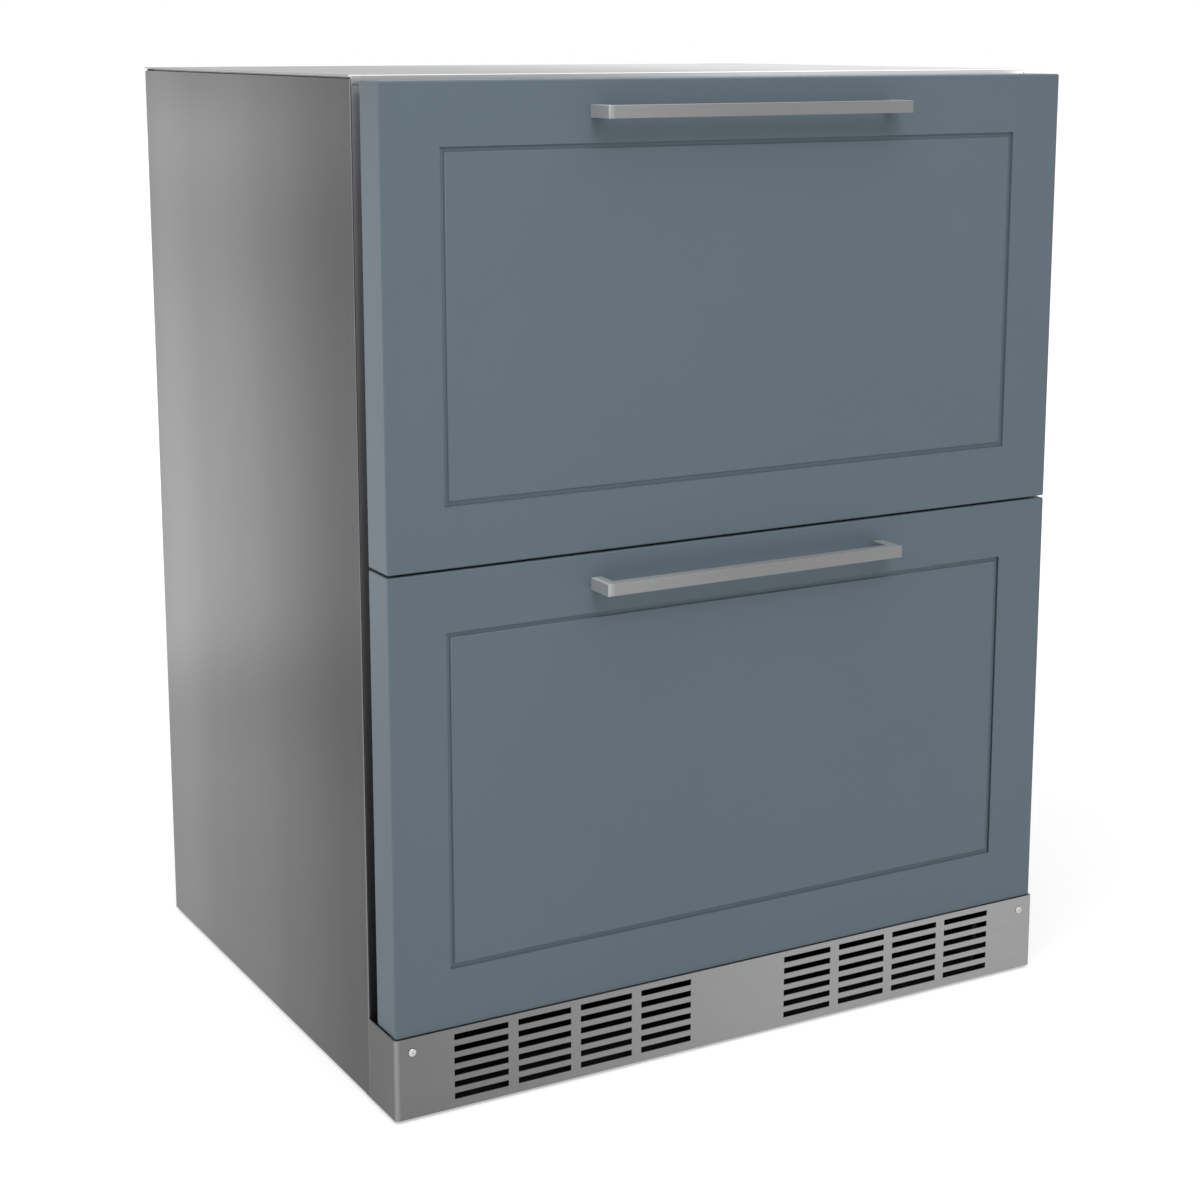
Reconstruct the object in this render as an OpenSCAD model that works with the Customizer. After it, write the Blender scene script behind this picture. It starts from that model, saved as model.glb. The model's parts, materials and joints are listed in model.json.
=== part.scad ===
/* [Cabinet] */
// Width across the side panels
body_w = 686; // [660:1:720]
// Height from the floor to the top deck
body_h = 876; // [850:1:900]
// Depth from the front edge of the side panels to their rear edge
body_d = 508; // [495:1:540]
// Thickness of the folded sheet metal
sheet_t = 1.2; // [0.8:0.1:1.6]
// Gap between the floor and the lower edge of the sheet metal
floor_gap = 3; // [2:0.5:5]
// Dark seam between the top deck and the side panels
seam_gap = 2; // [0.6:0.1:3]
// Depth of that seam
seam_d = 8; // [4:0.5:14]
// Height of the fold along the top deck's front edge
top_lip_h = 8; // [4:0.5:10]
// How far the back panel lies in front of the side panels' rear edges
rear_recess = 3; // [2.5:0.5:6]
// Width of the side panels' rear flanges
rear_flange_w = 16; // [14:1:22]

/* [Insulated compartment] */
// Insulation from the outer skin to the inside of the liner
wall_t = 45; // [38:1:55]
// Thickness of the liner
liner_t = 2; // [1.5:0.5:3]
// Height of the liner's floor
floor_z = 122; // [118:1:140]
// Height of the insulated shell's underside
deck_z = 82; // [80:1:90]
// Thickness of the face frame round the opening
face_t = 1.5; // [1:0.1:2]
// Height of the rail between the two drawers
mullion_h = 40; // [32:1:44]
// Depth of the rail between the two drawers
mullion_d = 34; // [24:1:40]

/* [Machine space] */
// Depth of the machine space behind the lower drawer
machine_d = 190; // [186:1:200]
// Height of the machine space's ceiling
machine_z = 265; // [262:1:290]
// Insulation between the machine space and the liner
step_wall_t = 40; // [35:1:50]

/* [Drawer fronts] */
// Gap between the cabinet face and the painted fronts, filled by the gaskets
gasket_gap = 15; // [12:1:18]
// Depth of a painted front seen from the side
panel_t = 37; // [34:1:42]
// Thickness of the board that a painted front is cut from
board_t = 22; // [19:1:25]
// Inset of the fronts from the cabinet's sides
panel_side_gap = 2; // [1:0.5:5]
// Height of the lower front's lower edge
front_low_z = 76.5; // [76.5:0.5:84]
// Distance from the cabinet's top down to the upper front's upper edge
front_top_gap = 4; // [4:1:12]
// Height of the middle of the gap between the two fronts
split_z = 476; // [460:1:490]
// Gap between the two fronts
split_gap = 2; // [2:0.5:6]
// Width of the stiles and rails round the centre panel
stile_w = 52; // [46:1:60]
// Width of the rim that covers the edges of the insulated core
rim_w = 12; // [10:1:15]
// Width of the groove round the centre panel
groove_w = 4; // [2:0.1:5]
// Depth of that groove, from the face of the stiles
groove_d = 2.6; // [2.2:0.1:6]
// How far the centre panel lies behind the stiles
field_step = 0.6; // [0.3:0.1:2]
// Overlap of the centre panel behind the stiles
rebate_w = 9; // [6:1:12]
// Overlap of a gasket on the cabinet face
gasket_lap = 18; // [15:1:19]
// Gap between a gasket's inner edge and the drawer box behind it
gasket_box_gap = 1; // [0.5:0.1:2]
// Clearance between a gasket and what it seals against
soft_clear = 0.3; // [0.2:0.1:0.5]

/* [Handles] */
// Length of a bar handle
handle_l = 305; // [280:5:380]
// Width and depth of the square bar
handle_bar = 10.5; // [10:0.5:14]
// Distance from the painted front to the handle's front
handle_reach = 30; // [26:1:40]
// Length of a handle screw's thread inside a post
handle_thread_l = 12; // [8:1:16]
// Radius of the handle screws
handle_screw_r = 2; // [1.5:0.25:2.5]

/* [Drawer boxes] */
// Clearance below a drawer box
box_floor_clear = 13; // [10:1:16]
// Gap between the upper drawer box and the control housing over it
upper_box_top_gap = 14; // [12:1:50]
// Gap between the lower drawer box and the gasket's inner edge over it
lower_box_top_gap = 3; // [2:1:50]
// Gap between the upper drawer box and the evaporator cover behind it
upper_box_back_gap = 17; // [12:1:60]
// Gap between the lower drawer box and the step of the liner behind it
lower_box_back_gap = 12; // [8:1:60]
// Thickness of a drawer box's walls
box_t = 2.5; // [2:0.5:4]
// Width of the lip round the top of a drawer box
lip_w = 6; // [4:1:8]
// Height of that lip
lip_h = 4; // [3:1:8]
// Setback of that lip from the box's front
lip_setback = 4; // [2:1:10]
// Gap round the core that stands inside the gasket
core_clear = 2; // [1:0.5:3]
// Distance between the core's rear face and the cabinet face
core_rear_gap = 2; // [1:0.5:4]

/* [Runners] */
// Width of a runner, between the liner and a drawer box
runner_w = 13; // [12:0.5:14]
// Height of a runner's cabinet member
runner_h = 45; // [40:1:50]
// Thickness of the runner steel
runner_t = 1.2; // [1:0.1:1.5]
// Running clearance between nested runner members
runner_clear = 0.3; // [0.2:0.05:0.4]
// Distance from a runner's rear end to the rear face of its drawer box
runner_end_gap = 2.5; // [1:0.5:30]
// Distance from a drawer box's underside to the middle of its runners
runner_rise = 90; // [60:1:120]
// Setback of the runners from the rear face of the face frame
runner_setback = 2; // [1:0.5:4]

/* [Kick grille] */
// Distance from the cabinet face to the front of the grille
grille_reach = 54; // [50:1:58]
// Height of the grille's upper edge
grille_top_z = 76; // [72:0.5:76]
// Depth of the flange along the grille's upper edge
grille_lip = 14; // [10:1:18]
// Length of a slot
slot_l = 52; // [44:1:54]
// Height of a slot
slot_h = 5.5; // [4:0.5:7]
// Distance between the slots of a column
slot_pitch = 10.8; // [9:0.1:11]
// Height of the lowest slot's lower edge
slot_low_z = 11; // [9:0.5:13]
// Distance between neighbouring columns of slots
column_pitch = 61.7; // [56:0.1:64]
// Half the width of the blank middle of the grille
blank_half_w = 50.5; // [40:0.5:60]
// Slots in a column
slot_rows = 6; // [3:1:6]
// Columns on each side of the middle
slot_columns = 4; // [2:1:4]
// Distance of the grille screws from the cabinet's sides
grille_screw_in = 16; // [14:1:20]
// Height of the grille screws
grille_screw_z = 63; // [55:1:66]
// Radius of the heads of the cabinet screws
screw_head_r = 3.6; // [3:0.1:4.5]
// Height of those heads
screw_head_h = 2; // [1.5:0.1:2.4]
// Radius of the cabinet screws
screw_r = 1.9; // [1.5:0.1:2.2]
// Length of the cabinet screws under the head
screw_l = 7; // [6:1:10]
// Radial clearance round every screw
screw_clear = 0.1; // [0.05:0.05:0.3]

/* [Levelling legs] */
// Radius of a foot
foot_r = 16; // [12:1:18]
// Height of a foot
foot_h = 7; // [6:1:9]
// Radius of a leg's threaded stem
stem_r = 5; // [4:0.5:6]
// Length of a leg from the floor to the stem's top
leg_l = 46; // [42:1:55]
// Radial clearance between a stem and its nut plate
stem_clear = 0.05; // [0.02:0.01:0.1]
// Distance of the legs from the cabinet's sides
leg_in = 40; // [36:1:60]
// Distance of the front legs from the front of the grille
leg_front_in = 36; // [32:1:60]
// Distance of the rear legs from the cabinet's rear edge
leg_rear_in = 36; // [32:1:40]
// Height of the nut plate over a leg
bridge_h = 18; // [14:1:20]

/* [Refrigeration] */
// Radius of the compressor shell
compressor_r = 70; // [60:1:74]
// Height of the compressor's top
compressor_top_z = 184; // [160:1:190]
// Distance of the compressor's axis from the cabinet's middle
compressor_x = 110; // [95:1:150]
// Radius of the refrigerant lines
line_r = 3; // [2:0.5:4]
// Radius of the condenser fan
condenser_fan_r = 72; // [60:1:74]
// Height of the condenser fan's axis
condenser_fan_z = 118; // [112:1:124]
// Radius of the evaporator fan
evaporator_fan_r = 50; // [40:1:54]
// Height of the evaporator fan's axis
evaporator_fan_z = 690; // [660:1:720]
// Radius of the fan shafts
shaft_r = 2.5; // [2:0.5:3]
// Radial running clearance of a fan on its shaft
shaft_clear = 0.05; // [0.02:0.01:0.1]
// Distance of the condenser from the cabinet's left side
condenser_in = 66; // [64:1:74]
// Width of the condenser
condenser_w = 106; // [80:1:110]
// Depth of the condenser
condenser_d = 145; // [120:1:150]
// Height of the condenser
condenser_h = 197; // [160:1:200]
// Height of the condenser above the base pan
condenser_lift = 12; // [8:1:20]
// Gap between the condenser and the fan bracket
bracket_gap = 32; // [28:1:40]
// Radial gap between the condenser fan and its bracket
fan_hole_gap = 5; // [3:1:6]
// Radius of the condenser fan's motor
condenser_motor_r = 28; // [22:1:32]
// Length of the condenser fan's motor
condenser_motor_l = 34; // [28:1:44]
// Radius of the condenser fan's hub
condenser_hub_r = 16; // [12:1:20]
// Depth of the condenser fan's rotor
condenser_blade_d = 20; // [14:1:24]
// Radius of the filter drier
drier_r = 9; // [7:0.5:11]
// Length of the filter drier
drier_l = 90; // [70:1:100]
// Height of the filter drier's lower end
drier_low_z = 70; // [60:1:80]
// Half the width of the evaporator
evaporator_half_x = 200; // [180:1:240]
// Height of the evaporator
evaporator_h = 230; // [180:1:250]
// Depth of the evaporator with its mounting plates
evaporator_d = 44; // [36:1:48]
// Distance from the liner's back to the evaporator cover
cover_gap = 60; // [58:1:64]
// Thickness of the evaporator cover
cover_t = 2.5; // [1.5:0.5:3]
// Depth of the evaporator fan's rotor
evaporator_blade_d = 12; // [8:1:14]
// Radius of the evaporator fan's motor
evaporator_motor_r = 18; // [14:1:22]
// Length of the evaporator fan's motor
evaporator_motor_l = 24; // [18:1:30]
// Radius of the evaporator fan's hub
evaporator_hub_r = 13; // [10:1:16]
// Space before and behind each fan rotor
rotor_gap = 4; // [2:0.5:5]
// Length of the drain pan
drain_pan_l = 240; // [160:5:260]
// Depth of the drain pan
drain_pan_d = 130; // [80:5:140]
// Height of the drain pan
drain_pan_h = 26; // [15:1:40]
// Fins of the condenser
condenser_fins = 15; // [8:1:18]
// Fins of the evaporator
evaporator_fins = 19; // [10:1:24]
// Thickness of a fin
fin_t = 0.8; // [0.5:0.1:1.2]

/* [Controls] */
// Width of the control housing under the liner's ceiling
control_w = 220; // [200:5:260]
// Height of the control housing
control_h = 26; // [24:1:28]
// Depth of the control housing
control_d = 38; // [32:1:44]
// Setback of the control housing from the face frame
control_setback = 6; // [4:1:10]
// Radius of a push button
button_r = 6; // [4.5:0.5:7]
// How far a button stands out of the housing
button_proud = 1.6; // [1.2:0.1:2.5]
// Clearance round a button
button_clear = 0.3; // [0.2:0.05:0.4]
// Distance between the buttons
button_pitch = 26; // [20:1:30]
// Travel of a button
button_travel = 1; // [0.6:0.1:1.2]
// Distance of the middle button from the cabinet's middle
button_mid_x = 48; // [40:1:60]
// Depth of the wells that the buttons stand in
button_recess = 9; // [8:0.5:12]
// Distance of the display window from the cabinet's middle
display_x = -60; // [-66:1:-45]
// Width of the display window
display_w = 70; // [50:1:80]
// Height of the display window
display_h = 14; // [10:1:18]
// Width of the lamp lens
lamp_w = 120; // [80:5:200]
// Depth of the lamp lens
lamp_d = 40; // [25:1:60]
// Height of the lamp lens
lamp_h = 6; // [4:1:10]
// Gap between the control housing and the lamp lens
lamp_gap = 14; // [8:1:30]

/* [Mains and fixing] */
// Radius of the bore that the mains lead passes through
gland_bore_r = 4.2; // [3.5:0.1:5]
// Length of that bore
gland_l = 16; // [12:1:20]
// Distance of the gland from the cabinet's left side
gland_in = 60; // [50:1:90]
// Height of the gland
gland_z = 60; // [50:1:80]
// Radius of the two fixing holes high on the back
tether_hole_r = 2.5; // [2:0.25:3]
// Distance between those holes
tether_spacing = 400; // [300:10:500]
// Distance from the cabinet's top down to those holes
tether_drop = 40; // [30:1:60]

/* [Hidden] */
$fn = 48;
// Overlap that lets a cut run cleanly past a face
cut = 1;
// Clearance between sheet metal pieces that lie side by side
fit_gap = 0.3;

// Depth and width positions
total_d = body_d + gasket_gap + panel_t + handle_reach;
back_y = total_d / 2;
face_y = back_y - body_d;
panel_back_y = face_y - gasket_gap;
panel_front_y = panel_back_y - panel_t;
board_back_y = panel_front_y + board_t;
rear_y = back_y - rear_recess;
side_x = body_w / 2;
inner_x = side_x - wall_t;
skin_x = side_x - sheet_t;
pan_x = skin_x - fit_gap;
side_top_z = body_h - sheet_t - seam_gap;

// Liner positions
ceiling_z = body_h - wall_t;
liner_front_y = face_y + face_t;
liner_back_y = back_y - wall_t;
machine_y = back_y - machine_d;
step_y = machine_y - step_wall_t;
step_z = machine_z + step_wall_t;
mullion_low_z = split_z - mullion_h / 2;
mullion_top_z = split_z + mullion_h / 2;
foam_back_y = rear_y - 2 * sheet_t;
cover_y = liner_back_y - cover_gap;

// Drawer positions: lower edge and upper edge of each front and each opening
panel_x = side_x - panel_side_gap;
upper_front_z = [split_z + split_gap / 2, body_h - front_top_gap];
lower_front_z = [front_low_z, split_z - split_gap / 2];
upper_open_z = [mullion_top_z, ceiling_z];
lower_open_z = [floor_z, mullion_low_z];
gasket_inset = min(runner_w, box_floor_clear) - gasket_box_gap;
core_rear_y = face_y - core_rear_gap;
box_x = inner_x - runner_w;
upper_box_z = mullion_top_z + box_floor_clear;
lower_box_z = floor_z + box_floor_clear;
upper_box_h = ceiling_z - control_h - upper_box_top_gap - upper_box_z;
lower_box_h = mullion_low_z - gasket_inset - lower_box_top_gap - lower_box_z;
upper_runner_z = upper_box_z + runner_rise;
lower_runner_z = lower_box_z + runner_rise;
upper_box_d = cover_y - upper_box_back_gap - core_rear_y;
lower_box_d = step_y - lower_box_back_gap - core_rear_y;
runner_y = liner_front_y + runner_setback;
upper_runner_l = core_rear_y + upper_box_d - runner_end_gap - runner_y;
lower_runner_l = core_rear_y + lower_box_d - runner_end_gap - runner_y;

// Kick grille, base pan and legs
screw_hole_r = screw_r + screw_clear;
grille_screw_x = side_x - grille_screw_in;
grille_y = face_y - grille_reach;
pan_top_z = floor_gap + face_t;
leg_x = side_x - leg_in;
leg_front_y = grille_y + leg_front_in;
leg_rear_y = back_y - leg_rear_in;
tab_t = 1.5;
pan_flange_h = 20;
nut_plate_t = 4;
bridge_wall = 3;
foot_clear = 2;

// Machine space
compressor_rear_gap = 22;
compressor_y = rear_y - 2 * sheet_t - compressor_rear_gap - compressor_r;
grommet_r = 11;
grommet_h = 12;
foot_plate_t = 3;
lug_half_x = 62;
lug_half_y = 52;
lug_r = 13;
stud_r = 3;
stud_clear = 0.3;
stud_proud = 12;
foot_plate_z = pan_top_z + grommet_h;
stub_r = 4.5;
stub_h = 18;
stub_spread = 45;
stub_top_z = compressor_top_z + stub_h;
line_rise = 36;
line_top_z = stub_top_z + line_rise;
discharge_x = compressor_x - stub_spread;
suction_x = compressor_x + stub_spread;
condenser_low_z = pan_top_z + condenser_lift;
condenser_top_z = condenser_low_z + condenser_h;
condenser_x0 = condenser_in - side_x;
condenser_x1 = condenser_x0 + condenser_w;
condenser_y0 = compressor_y - condenser_d / 2;
condenser_y1 = compressor_y + condenser_d / 2;
bracket_x = condenser_x1 + bracket_gap;
condenser_blade_x = bracket_x + sheet_t + rotor_gap;
condenser_motor_x = condenser_blade_x + condenser_blade_d + rotor_gap;
drier_x = condenser_x1 + bracket_gap / 2;
drier_y = condenser_y0 + drier_r;

// Evaporator
passage_y = liner_back_y - evaporator_d / 2;
passage_clear = 3;
passage_r = line_r + passage_clear;
evaporator_y = liner_back_y - evaporator_d;
evaporator_lift = 26;
evaporator_low_z = step_z + evaporator_lift;
evaporator_blade_y = cover_y + cover_t + rotor_gap;
evaporator_motor_y = evaporator_blade_y + evaporator_blade_d + rotor_gap;

// Controls
control_y = liner_front_y + control_setback;
control_low_z = ceiling_z - control_h;
button_z = ceiling_z - control_h / 2;
display_d = 2;
display_proud = 0.2;
display_clear = 0.1;
function button_x(i) = button_mid_x + (i - 1) * button_pitch;

// Mains gland
gland_x = gland_in - side_x;
gland_wall = 5;
gland_flange_w = 3;
gland_clear = 0.1;
gland_body_r = gland_bore_r + gland_wall;
gland_flange_r = gland_body_r + gland_flange_w;

// A block between two corners
module block(low, high) {
    translate(low) cube(high - low);
}

// A block that is as wide to the left as to the right
module wide_block(half_x, y, z) {
    block([-half_x, y[0], z[0]], [half_x, y[1], z[1]]);
}

// A cylinder along X, from a point
module rod_x(from, length, r) {
    translate(from) rotate([0, 90, 0]) cylinder(h = length, r = r);
}

// A cylinder along +Y, from a point
module rod_y(from, length, r) {
    translate(from) rotate([-90, 0, 0]) cylinder(h = length, r = r);
}

// A shape on the right and its mirror image on the left
module both_sides() {
    children();
    mirror([1, 0, 0]) children();
}

// A round tube along straight runs, with a ball at each bend
module tube_run(points, r) {
    for (i = [0 : len(points) - 2]) {
        run = points[i + 1] - points[i];
        length = norm(run);
        tilt = acos(run[2] / length);
        turn = atan2(run[1], run[0]);
        translate(points[i]) rotate([0, tilt, turn]) cylinder(h = length, r = r);
    }
    for (i = [1 : len(points) - 2]) translate(points[i]) sphere(r = r);
}

// ---- Outer cabinet ----

// Screw places on the rear service cover: x and z
cover_screw_x = side_x - sheet_t - rear_flange_w / 2;
cover_screw_low_z = 30;
cover_screw_top_z = machine_z - 20;
cover_screw_z = [cover_screw_low_z, (cover_screw_low_z + cover_screw_top_z) / 2, cover_screw_top_z];

module side_panel() {
    difference() {
        union() {
            block([skin_x, face_y, floor_gap], [side_x, back_y, side_top_z]);
            block([side_x - rear_flange_w, rear_y - 2 * sheet_t, floor_gap],
                [side_x, rear_y - sheet_t, side_top_z]);
        }
        for (z = cover_screw_z) {
            rod_y([cover_screw_x, rear_y - 2 * sheet_t - cut, z], sheet_t + 2 * cut, screw_hole_r);
        }
    }
}

module side_panel_right() {
    color([0.56, 0.56, 0.56]) side_panel();
}

module side_panel_left() {
    color([0.56, 0.56, 0.56]) mirror([1, 0, 0]) side_panel();
}

// The deck, folded down in front over the top of the face frame and at its sides inside the seams
module top_panel() {
    flange_x = pan_x - seam_d / 2;
    color([0.76, 0.76, 0.76]) {
        wide_block(side_x, [face_y, back_y], [body_h - sheet_t, body_h]);
        wide_block(pan_x, [face_y, liner_front_y], [body_h - top_lip_h, body_h]);
        both_sides() block([flange_x - sheet_t, liner_front_y - fit_gap, side_top_z + fit_gap],
            [flange_x, foam_back_y - fit_gap, body_h]);
    }
}

module back_panel() {
    color([0.7, 0.72, 0.73]) difference() {
        wide_block(pan_x, [rear_y - sheet_t, rear_y], [machine_z, body_h - sheet_t - fit_gap]);
        both_sides() tether_hole(tether_hole_r);
    }
}

// One of the two fixing holes high on the back
module tether_hole(r) {
    depth = 24;
    rod_y([tether_spacing / 2, rear_y - depth, body_h - tether_drop], depth + cut, r);
}

module rear_service_cover() {
    vent_l = 110;
    vent_h = 4;
    vent_pitch = 12;
    vent_rows = 8;
    vent_low_z = 120;
    hole_y = rear_y - sheet_t - cut;
    hole_l = sheet_t + 2 * cut;
    color([0.66, 0.68, 0.69]) difference() {
        wide_block(pan_x, [rear_y - sheet_t, rear_y], [floor_gap + sheet_t, machine_z - fit_gap]);
        for (side = [-1, 1], row = [0 : vent_rows - 1]) {
            translate([side * compressor_x - vent_l / 2, hole_y, vent_low_z + row * vent_pitch])
                cube([vent_l, hole_l, vent_h]);
        }
        for (z = cover_screw_z) {
            both_sides() rod_y([cover_screw_x, hole_y, z], hole_l, screw_hole_r);
        }
        rod_y([gland_x, hole_y, gland_z], hole_l, gland_body_r);
    }
}

// A pan head screw that points along +Y, with the underside of its head at the origin
module cabinet_screw() {
    cross_w = 0.8;
    cross_l = 1.2 * screw_head_r;
    rod_y([0, 0, 0], screw_l, screw_r);
    difference() {
        rod_y([0, -screw_head_h, 0], screw_head_h, screw_head_r);
        for (turn = [0, 90]) rotate([0, turn, 0])
            translate([-cross_l / 2, -screw_head_h - cut, -cross_w / 2])
                cube([cross_l, cut + cross_w, cross_w]);
    }
}

module cabinet_screws() {
    color([0.85, 0.85, 0.85]) both_sides() {
        translate([grille_screw_x, grille_y, grille_screw_z]) cabinet_screw();
        for (z = cover_screw_z) {
            translate([cover_screw_x, rear_y, z]) rotate([0, 0, 180]) cabinet_screw();
        }
    }
}

// ---- Base pan and legs ----

module for_each_leg() {
    for (x = [-leg_x, leg_x], y = [leg_front_y, leg_rear_y]) translate([x, y, 0]) children();
}

module for_each_stud() {
    for (x = [-lug_half_x, lug_half_x], y = [-lug_half_y, lug_half_y]) {
        translate([compressor_x + x, compressor_y + y, 0]) children();
    }
}

// The nut plate and its two walls over one leg
module leg_bridge() {
    half = foot_r + foot_clear + bridge_wall;
    top_z = pan_top_z + bridge_h;
    translate([-half, -half, top_z - nut_plate_t]) cube([2 * half, 2 * half, nut_plate_t]);
    for (x = [-half, half - bridge_wall]) {
        translate([x, -half, floor_gap]) cube([bridge_wall, 2 * half, top_z - floor_gap]);
    }
}

module base_pan() {
    front_y = grille_y + sheet_t;
    pan_back_y = rear_y - 2 * sheet_t - fit_gap;
    tab_x0 = side_x - 2 * grille_screw_in + tab_t;
    tab_top_z = grille_top_z - sheet_t - fit_gap;
    pan_rear_x = side_x - rear_flange_w - fit_gap;
    color([0.6, 0.62, 0.63]) difference() {
        union() {
            wide_block(pan_x, [front_y, pan_back_y], [floor_gap, pan_top_z]);
            both_sides() {
                block([pan_x - tab_t, front_y, floor_gap], [pan_x, pan_back_y, floor_gap + pan_flange_h]);
                block([tab_x0, front_y, floor_gap], [pan_x, front_y + tab_t, tab_top_z]);
            }
            wide_block(pan_rear_x, [pan_back_y - tab_t, pan_back_y], [floor_gap, floor_gap + pan_flange_h]);
            for_each_leg() leg_bridge();
            for_each_stud() translate([0, 0, floor_gap])
                cylinder(h = foot_plate_z + stud_proud - floor_gap, r = stud_r);
        }
        for_each_leg() {
            translate([0, 0, floor_gap - cut]) cylinder(h = face_t + 2 * cut, r = foot_r + foot_clear);
            translate([0, 0, pan_top_z]) cylinder(h = bridge_h + cut, r = stem_r + stem_clear);
        }
        both_sides() {
            rod_y([grille_screw_x, front_y - cut, grille_screw_z], tab_t + 2 * cut, screw_hole_r);
        }
    }
}

module leg(x, y) {
    chamfer = 1.5;
    color([0.2, 0.2, 0.21]) translate([x, y, 0]) rotate_extrude() polygon([
        [0, 0], [foot_r - chamfer, 0], [foot_r, chamfer], [foot_r, foot_h - chamfer],
        [foot_r - chamfer, foot_h], [stem_r, foot_h], [stem_r, leg_l - chamfer],
        [stem_r - chamfer, leg_l], [0, leg_l]
    ]);
}

module leg_front_left() { leg(-leg_x, leg_front_y); }
module leg_front_right() { leg(leg_x, leg_front_y); }
module leg_rear_left() { leg(-leg_x, leg_rear_y); }
module leg_rear_right() { leg(leg_x, leg_rear_y); }

// ---- Kick grille ----

module slot_columns_right() {
    for (column = [0 : slot_columns - 1], row = [0 : slot_rows - 1]) {
        translate([blank_half_w + column * column_pitch, grille_y - cut, slot_low_z + row * slot_pitch])
            cube([slot_l, sheet_t + 2 * cut, slot_h]);
    }
}

module kick_grille() {
    color([0.6, 0.6, 0.6]) difference() {
        union() {
            wide_block(side_x, [grille_y, grille_y + sheet_t], [floor_gap, grille_top_z]);
            wide_block(side_x, [grille_y, grille_y + grille_lip], [grille_top_z - sheet_t, grille_top_z]);
            both_sides() block([skin_x, grille_y, floor_gap], [side_x, face_y - fit_gap, grille_top_z]);
        }
        both_sides() {
            slot_columns_right();
            rod_y([grille_screw_x, grille_y - cut, grille_screw_z], sheet_t + 2 * cut, screw_hole_r);
        }
    }
}

// ---- Insulated shell ----

// Space inside the liner, grown by a margin, from a front plane
module compartment(grow, front_y) {
    half_x = inner_x + grow;
    wide_block(half_x, [front_y, step_y + grow], [floor_z - grow, ceiling_z + grow]);
    wide_block(half_x, [front_y, liner_back_y + grow], [step_z - grow, ceiling_z + grow]);
}

// Holes for the two lines that pass from the machine space to the evaporator
module line_passages() {
    for (x = [drier_x, suction_x]) {
        translate([x, passage_y, machine_z - sheet_t - cut])
            cylinder(h = sheet_t + step_wall_t + 2 * cut, r = passage_r);
    }
}

module compartment_deck() {
    color([0.66, 0.68, 0.69]) difference() {
        union() {
            wide_block(pan_x, [liner_front_y, machine_y], [deck_z - sheet_t, deck_z]);
            wide_block(pan_x, [machine_y - sheet_t, machine_y], [deck_z - sheet_t, machine_z]);
            wide_block(pan_x, [machine_y - sheet_t, foam_back_y - fit_gap], [machine_z - sheet_t, machine_z]);
        }
        line_passages();
    }
}

module foam_insulation() {
    top_z = body_h - sheet_t - fit_gap;
    color([0.93, 0.88, 0.7]) difference() {
        wide_block(pan_x, [liner_front_y, foam_back_y - fit_gap], [deck_z, top_z]);
        wide_block(side_x, [machine_y - sheet_t, back_y], [0, machine_z]);
        compartment(liner_t, liner_front_y - cut);
        line_passages();
        both_sides() {
            tether_hole(2 * tether_hole_r);
            block([pan_x - seam_d, face_y, side_top_z], [side_x, back_y, body_h]);
        }
    }
}

module inner_liner() {
    color([0.9, 0.9, 0.9]) difference() {
        compartment(liner_t, liner_front_y);
        compartment(0, liner_front_y - cut);
        line_passages();
    }
}

// The frame round both openings, with an ear at each side that reaches down behind the grille
module face_frame() {
    ear_w = 24;
    ear_drop = 10;
    color([0.55, 0.55, 0.56]) {
        difference() {
            wide_block(pan_x, [face_y, liner_front_y], [deck_z - sheet_t, body_h - top_lip_h - fit_gap]);
            wide_block(inner_x, [face_y - cut, liner_front_y + cut], [floor_z, ceiling_z]);
        }
        both_sides()
            block([pan_x - ear_w, face_y, grille_top_z - ear_drop], [pan_x, liner_front_y, deck_z]);
    }
}

// A folded channel, open at the rear
module centre_mullion() {
    color([0.5, 0.5, 0.51]) difference() {
        wide_block(inner_x - fit_gap, [face_y, face_y + mullion_d], [mullion_low_z, mullion_top_z]);
        wide_block(inner_x, [face_y + face_t, face_y + mullion_d + cut],
            [mullion_low_z + face_t, mullion_top_z - face_t]);
    }
}

// ---- Refrigeration ----

module compressor() {
    waist_z = foot_plate_z + 70;
    bead_t = 2;
    bead_h = 6;
    shell_r = compressor_r - bead_t;
    base_in = 18;
    base_rise = 14;
    shoulder_drop = 26;
    dome_in = 8;
    dome_drop = 12;
    crown_in = 28;
    crown_drop = 3;
    color([0.12, 0.12, 0.13]) {
        translate([compressor_x, compressor_y, 0]) rotate_extrude() polygon([
            [0, foot_plate_z], [shell_r - base_in, foot_plate_z], [shell_r, foot_plate_z + base_rise],
            [shell_r, waist_z], [compressor_r, waist_z], [compressor_r, waist_z + bead_h],
            [shell_r, waist_z + bead_h], [shell_r, compressor_top_z - shoulder_drop],
            [shell_r - dome_in, compressor_top_z - dome_drop],
            [shell_r - crown_in, compressor_top_z - crown_drop], [0, compressor_top_z]
        ]);
        difference() {
            union() {
                for (y = [-lug_half_y, lug_half_y]) {
                    translate([compressor_x - lug_half_x, compressor_y + y - lug_r, foot_plate_z])
                        cube([2 * lug_half_x, 2 * lug_r, foot_plate_t]);
                }
                for_each_stud() translate([0, 0, foot_plate_z]) cylinder(h = foot_plate_t, r = lug_r);
            }
            for_each_stud() translate([0, 0, foot_plate_z - cut])
                cylinder(h = foot_plate_t + 2 * cut, r = stud_r + stud_clear);
        }
        for (x = [discharge_x, suction_x]) {
            translate([x, compressor_y, waist_z]) cylinder(h = stub_top_z - waist_z, r = stub_r);
        }
    }
}

module compressor_grommets() {
    color([0.08, 0.08, 0.08]) for_each_stud() difference() {
        translate([0, 0, pan_top_z]) cylinder(h = grommet_h, r = grommet_r);
        translate([0, 0, pan_top_z - cut]) cylinder(h = grommet_h + 2 * cut, r = stud_r + stud_clear);
    }
}

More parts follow.
